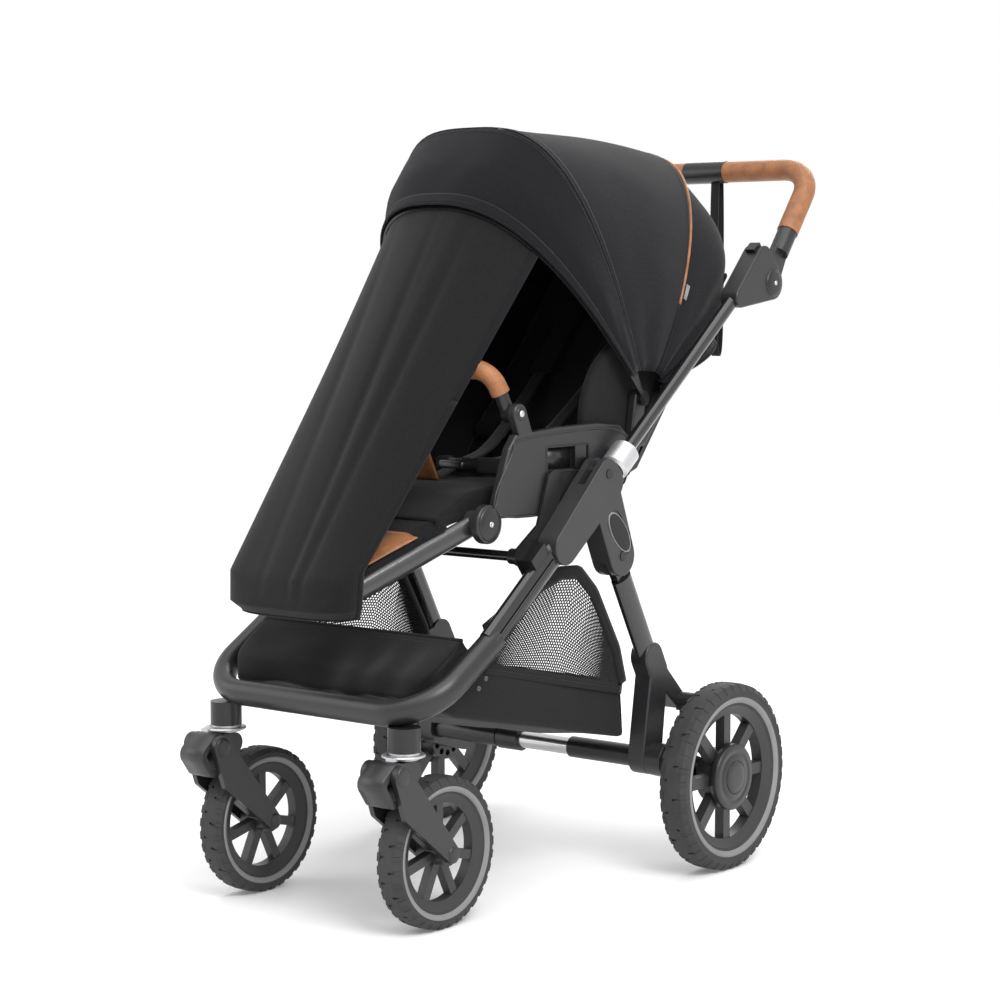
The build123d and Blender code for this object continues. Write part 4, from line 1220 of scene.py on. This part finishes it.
for side, tag in SIDES:
    lip = closed_line(PANEL_LIP, side * (SEAT_OUT + 0.2), 8)
    tube("seat_panel_lip_" + tag, lip, 1.5, GREY, "seat")
    rim = closed_line(RECESS_LIP, side * (SEAT_OUT + 0.1), 6)
    tube("seat_recess_lip_" + tag, rim, 1.1, GREY, "seat")
    # A dark sheet over each recess floor: painted shade inside the recess
    recess_shade_x = side * (SEAT_OUT - RECESS_DEEP + 0.3)
    recess_shade_rows = [[at(recess_shade_x, y, z) for y in (227, 286)] for z in (607, 637)]
    layer("seat_recess_floor_" + tag, recess_shade_rows, DARK, "seat", 0.3)
    strip = [at(side * (SIDE_X + 14.2), *aimed(FRAME_LINE, LINE_RISE, s)) for s in range(-176, 8, 8)]
    tape("frame_strip_" + tag, strip, 11.0, 1.0, GREY, "chassis")

# Soft inside of the seat: side wings, leg liner, leather patches and hems of the leg rest

WING_FRONT = [
    (344, 596), (324, 650), (328, 705), (356, 752), (410, 790), (480, 822), (560, 850), (622, 872),
]
WING_BACK = [
    (436, 570), (464, 617), (490, 648), (520, 684), (552, 722), (586, 762), (624, 808), (662, 854),
]
WING_FRONT_X, WING_BACK_X = 161, 157
for side, tag in SIDES:
    front = curve_through([at(side * WING_FRONT_X, y, z) for y, z in WING_FRONT], 33)
    back = curve_through([at(side * WING_BACK_X, y, z) for y, z in WING_BACK], 33)
    wing_rows = between(front, back, 13)
    wing_rows = raised(wing_rows, lambda u, v: 2.0 * math.sin(9 * u) * math.sin(math.pi * v))
    wing = smooth_out(layer("seat_wing_" + tag, wing_rows, SEAT_CLOTH, "seat", 11.0), 2)

LEG_DIR, LEG_PAD_TOP = 203.9, 27.4
# Half widths of the leg rest's pad and tube, each at two distances from the pivot
LEG_PAD = ((42.0, 153.0), (216.0, 99.0))
LEG_TUBE = ((8.0, 152.0), (232.0, 92.0))
LINER_HALF, LINER_DROP, LINER_LOW_DROP = 140.5, 47.0, 12.0
PATCH_START, PATCH_END, PATCH_IN = 94.0, 212.0, 3.0
HEM_START, HEM_STEP = 44, 7


def on_leg_rest(x, along, above=0.0):
    """A point over the leg rest's pad."""
    y, z = aimed(aimed(FOOT_PIVOT, LEG_DIR, along), LEG_DIR - 90, LEG_PAD_TOP + above)
    return at(x, y, z)


def leg_half(ends, along):
    """Half width at a distance from the pivot."""
    (start, wide), (end, narrow) = ends
    return wide + (narrow - wide) * (along - start) / (end - start)


def draped_on(target, rows, toward, lift):
    """Rows moved along a direction until they lie a little above another piece."""
    tree = BVHTree.FromObject(target, bpy.context.evaluated_depsgraph_get())
    result = []
    for row in rows:
        line = []
        for point in row:
            spot = tree.ray_cast(point - toward * 0.05, toward)[0]
            line.append(point if spot is None else spot - toward * (lift * MM))
        result.append(line)
    return result


liner_side = [at(0, 168, 586), at(0, 138, 584), at(0, 104, 578), at(0, 72, 564), on_leg_rest(0, 58, 6)]
liner_side = curve_through(liner_side, 25)
liner_rows = []
for middle, low in zip(liner_side, shares(len(liner_side))):
    drop = LINER_DROP + (LINER_LOW_DROP - LINER_DROP) * low
    row = [middle + X_AXIS * (LINER_HALF * MM * (2 * share - 1)) for share in shares(41)]
    hang = [Z_AXIS * (-drop * MM * part) for part in (1.0, 0.66, 0.33, 0.08)]
    liner_rows.append([row[0] + down for down in hang] + row + [row[-1] + down for down in reversed(hang)])
liner_rows = raised(liner_rows, lambda u, v: 1.5 * math.sin(13 * u + 3 * v) * math.sin(math.pi * v))
liner = layer("leg_liner", liner_rows, SEAT_CLOTH, None, 4.0)
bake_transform(liner)

leg_down = (on_leg_rest(0, 100) - on_leg_rest(0, 100, 10.0)).normalized()
patch_rows = []
for low in shares(21):
    along = PATCH_START + (PATCH_END - PATCH_START) * low
    half = leg_half(LEG_PAD, along) - PATCH_IN
    patch_rows.append([on_leg_rest(half * (2 * share - 1), along) for share in shares(41)])
patch_rows = draped_on(foot_cushion, patch_rows, leg_down, 1.2)
layer("leg_rest_leather", patch_rows, TAN, "footrest", 1.4)
stitches("leg_rest_stitches", [p - leg_down * 0.0009 for p in row_at(patch_rows, 0.06)], TAN, "footrest")

for side, tag in SIDES:
    hem_rows = []
    for above in (-18.0, -11.0, -4.5):
        places = [HEM_START + HEM_STEP * k for k in range(25)]
        hem_rows.append([on_leg_rest(side * leg_half(LEG_TUBE, along), along, above) for along in places])
    layer("leg_rest_hem_" + tag, hem_rows, SEAT_CLOTH, "footrest", 1.2)

crotch_line = route([(0, 139, 735), (0, 137, 690), (0, 150, 640), (0, 176, 588)], 30)
ribbon("crotch_guard", crotch_line, X_AXIS, 46.0, 3.0, TAN, "seat")
for k, share in enumerate((-1, 1)):
    edge = [p + Vector((share * 0.0195, -0.0018, 0)) for p in crotch_line]
    stitches("crotch_guard_stitches_" + str(k), edge, THREAD, "seat")

# A plain woven label at the canopy piping

LABEL_COLUMNS = slice(10, 13)
for name, lift, first, last, material in (
    ("canopy_label", 1.6, 0.02, 0.105, WEBBING),
    ("canopy_label_patch", 2.6, 0.04, 0.095, LABEL_CLOTH),
):
    label_rows = [row[LABEL_COLUMNS] for row in strip_rows(back_rows, first, last, lift, 4)]
    layer(name, label_rows, material, "seat", 0.8)

# Bare oval badges in the frame's side recesses

BADGE_AT, BADGE_SIZE, BADGE_TILT, BADGE_X = (342.0, 513.0), (37.0, 16.5), -50.0, 219.8


def oval_rows(side, sizes):
    """Rings of an oval in the side plane, from (share of size, out) pairs."""
    along = Vector((0, math.cos(math.radians(BADGE_TILT)), math.sin(math.radians(BADGE_TILT))))
    over = Vector((0, -along.z, along.y))
    long, short = BADGE_SIZE
    rows = []
    for share, out in sizes:
        spot = at(side * (BADGE_X + out), *BADGE_AT)
        rows.append(ring_points(spot, along * long, over * short, share * MM, 64))
    return rows


for side, tag in SIDES:
    dome = oval_rows(side, [(0.93, 0.4), (0.9, 1.3), (0.7, 1.7), (0.4, 1.9), (0.02, 2.0)])
    grid("badge_" + tag, dome, INLAY, "chassis", closed=True)
    edge = oval_rows(side, [(1.0, 0.2), (0.99, 1.5), (0.95, 1.7), (0.92, 1.3)])
    grid("badge_edge_" + tag, edge, STRIPE, "chassis", closed=True)

# Stage: pale floor, white surroundings, soft lamps and the camera

FLOOR_HALF = 12.0
floor_paint = Paint("floor", (0.9, 0.9, 0.9), 0.9)
floor_paint.shade(Specular_IOR_Level=0.0, Emission_Color=(1, 1, 1, 1), Emission_Strength=0.12)
floor_corners = [(FLOOR_HALF * x, FLOOR_HALF * y, 0) for x, y in ((-1, -1), (1, -1), (1, 1), (-1, 1))]
add_mesh("floor", floor_corners, [(0, 1, 2, 3)], floor_paint.material, None, False)


def studio_world():
    """White where the camera or a reflection sees it, a plain soft light elsewhere."""
    world = bpy.data.worlds.new("studio")
    bpy.context.scene.world = world
    tree = Nodes(world)
    soft = tree.set(tree.nodes["Background"], Color=(1, 1, 1, 1), Strength=0.5)
    white = tree.add("Background", Color=(1, 1, 1, 1), Strength=1.0)
    seen = tree.add("LightPath").outputs
    sees_white = seen["Is Camera Ray"]
    for ray in ("Is Glossy Ray", "Is Transmission Ray"):
        sees_white = tree.math("MAXIMUM", sees_white, seen[ray])
    mix = tree.add("MixShader", Fac=sees_white)
    for socket, light in zip(mix.inputs[1:], (soft, white)):
        tree.feed(socket, light.outputs["Background"])
    tree.set(tree.nodes["World Output"], Surface=mix.outputs["Shader"])


studio_world()


def lamp(name, place, target, size, power):
    data = bpy.data.lights.new(name, "AREA")
    data.size = size
    data.energy = power
    obj = link(name, data)
    obj.location = place
    obj.rotation_euler = (Vector(target) - Vector(place)).to_track_quat("-Z", "Y").to_euler()


SUN_POWER, SUN_SPREAD, SUN_TILT = 1.62, 70.0, (14.0, 12.0, 0.0)
sky_data = bpy.data.lights.new("overhead", "SUN")
sky_data.energy = SUN_POWER
sky_data.angle = math.radians(SUN_SPREAD)
link("overhead", sky_data).rotation_euler = [math.radians(turn) for turn in SUN_TILT]
lamp("key", (2.4, -1.2, 2.6), (0, 0, 0.5), 1.5, 62)
lamp("fill", (-2.6, -2.2, 1.6), (0, 0, 0.5), 2.2, 22)
lamp("rim", (-0.8, 2.8, 2.2), (0, 0, 0.6), 1.8, 44)

CAMERA_LENS, CAMERA_SENSOR = 86.94, 36.0
CAMERA_AT, CAMERA_DOWN, CAMERA_TURN = (2.2383, -2.8238, 0.8562), 4.94, 38.78
camera_data = bpy.data.cameras.new("camera")
camera_data.lens = CAMERA_LENS
camera_data.sensor_width = CAMERA_SENSOR
camera = link("camera", camera_data)
camera.location = CAMERA_AT
camera.rotation_euler = (math.radians(90 - CAMERA_DOWN), 0, math.radians(CAMERA_TURN))
bpy.context.scene.camera = camera
bpy.context.scene.view_settings.view_transform = "Standard"
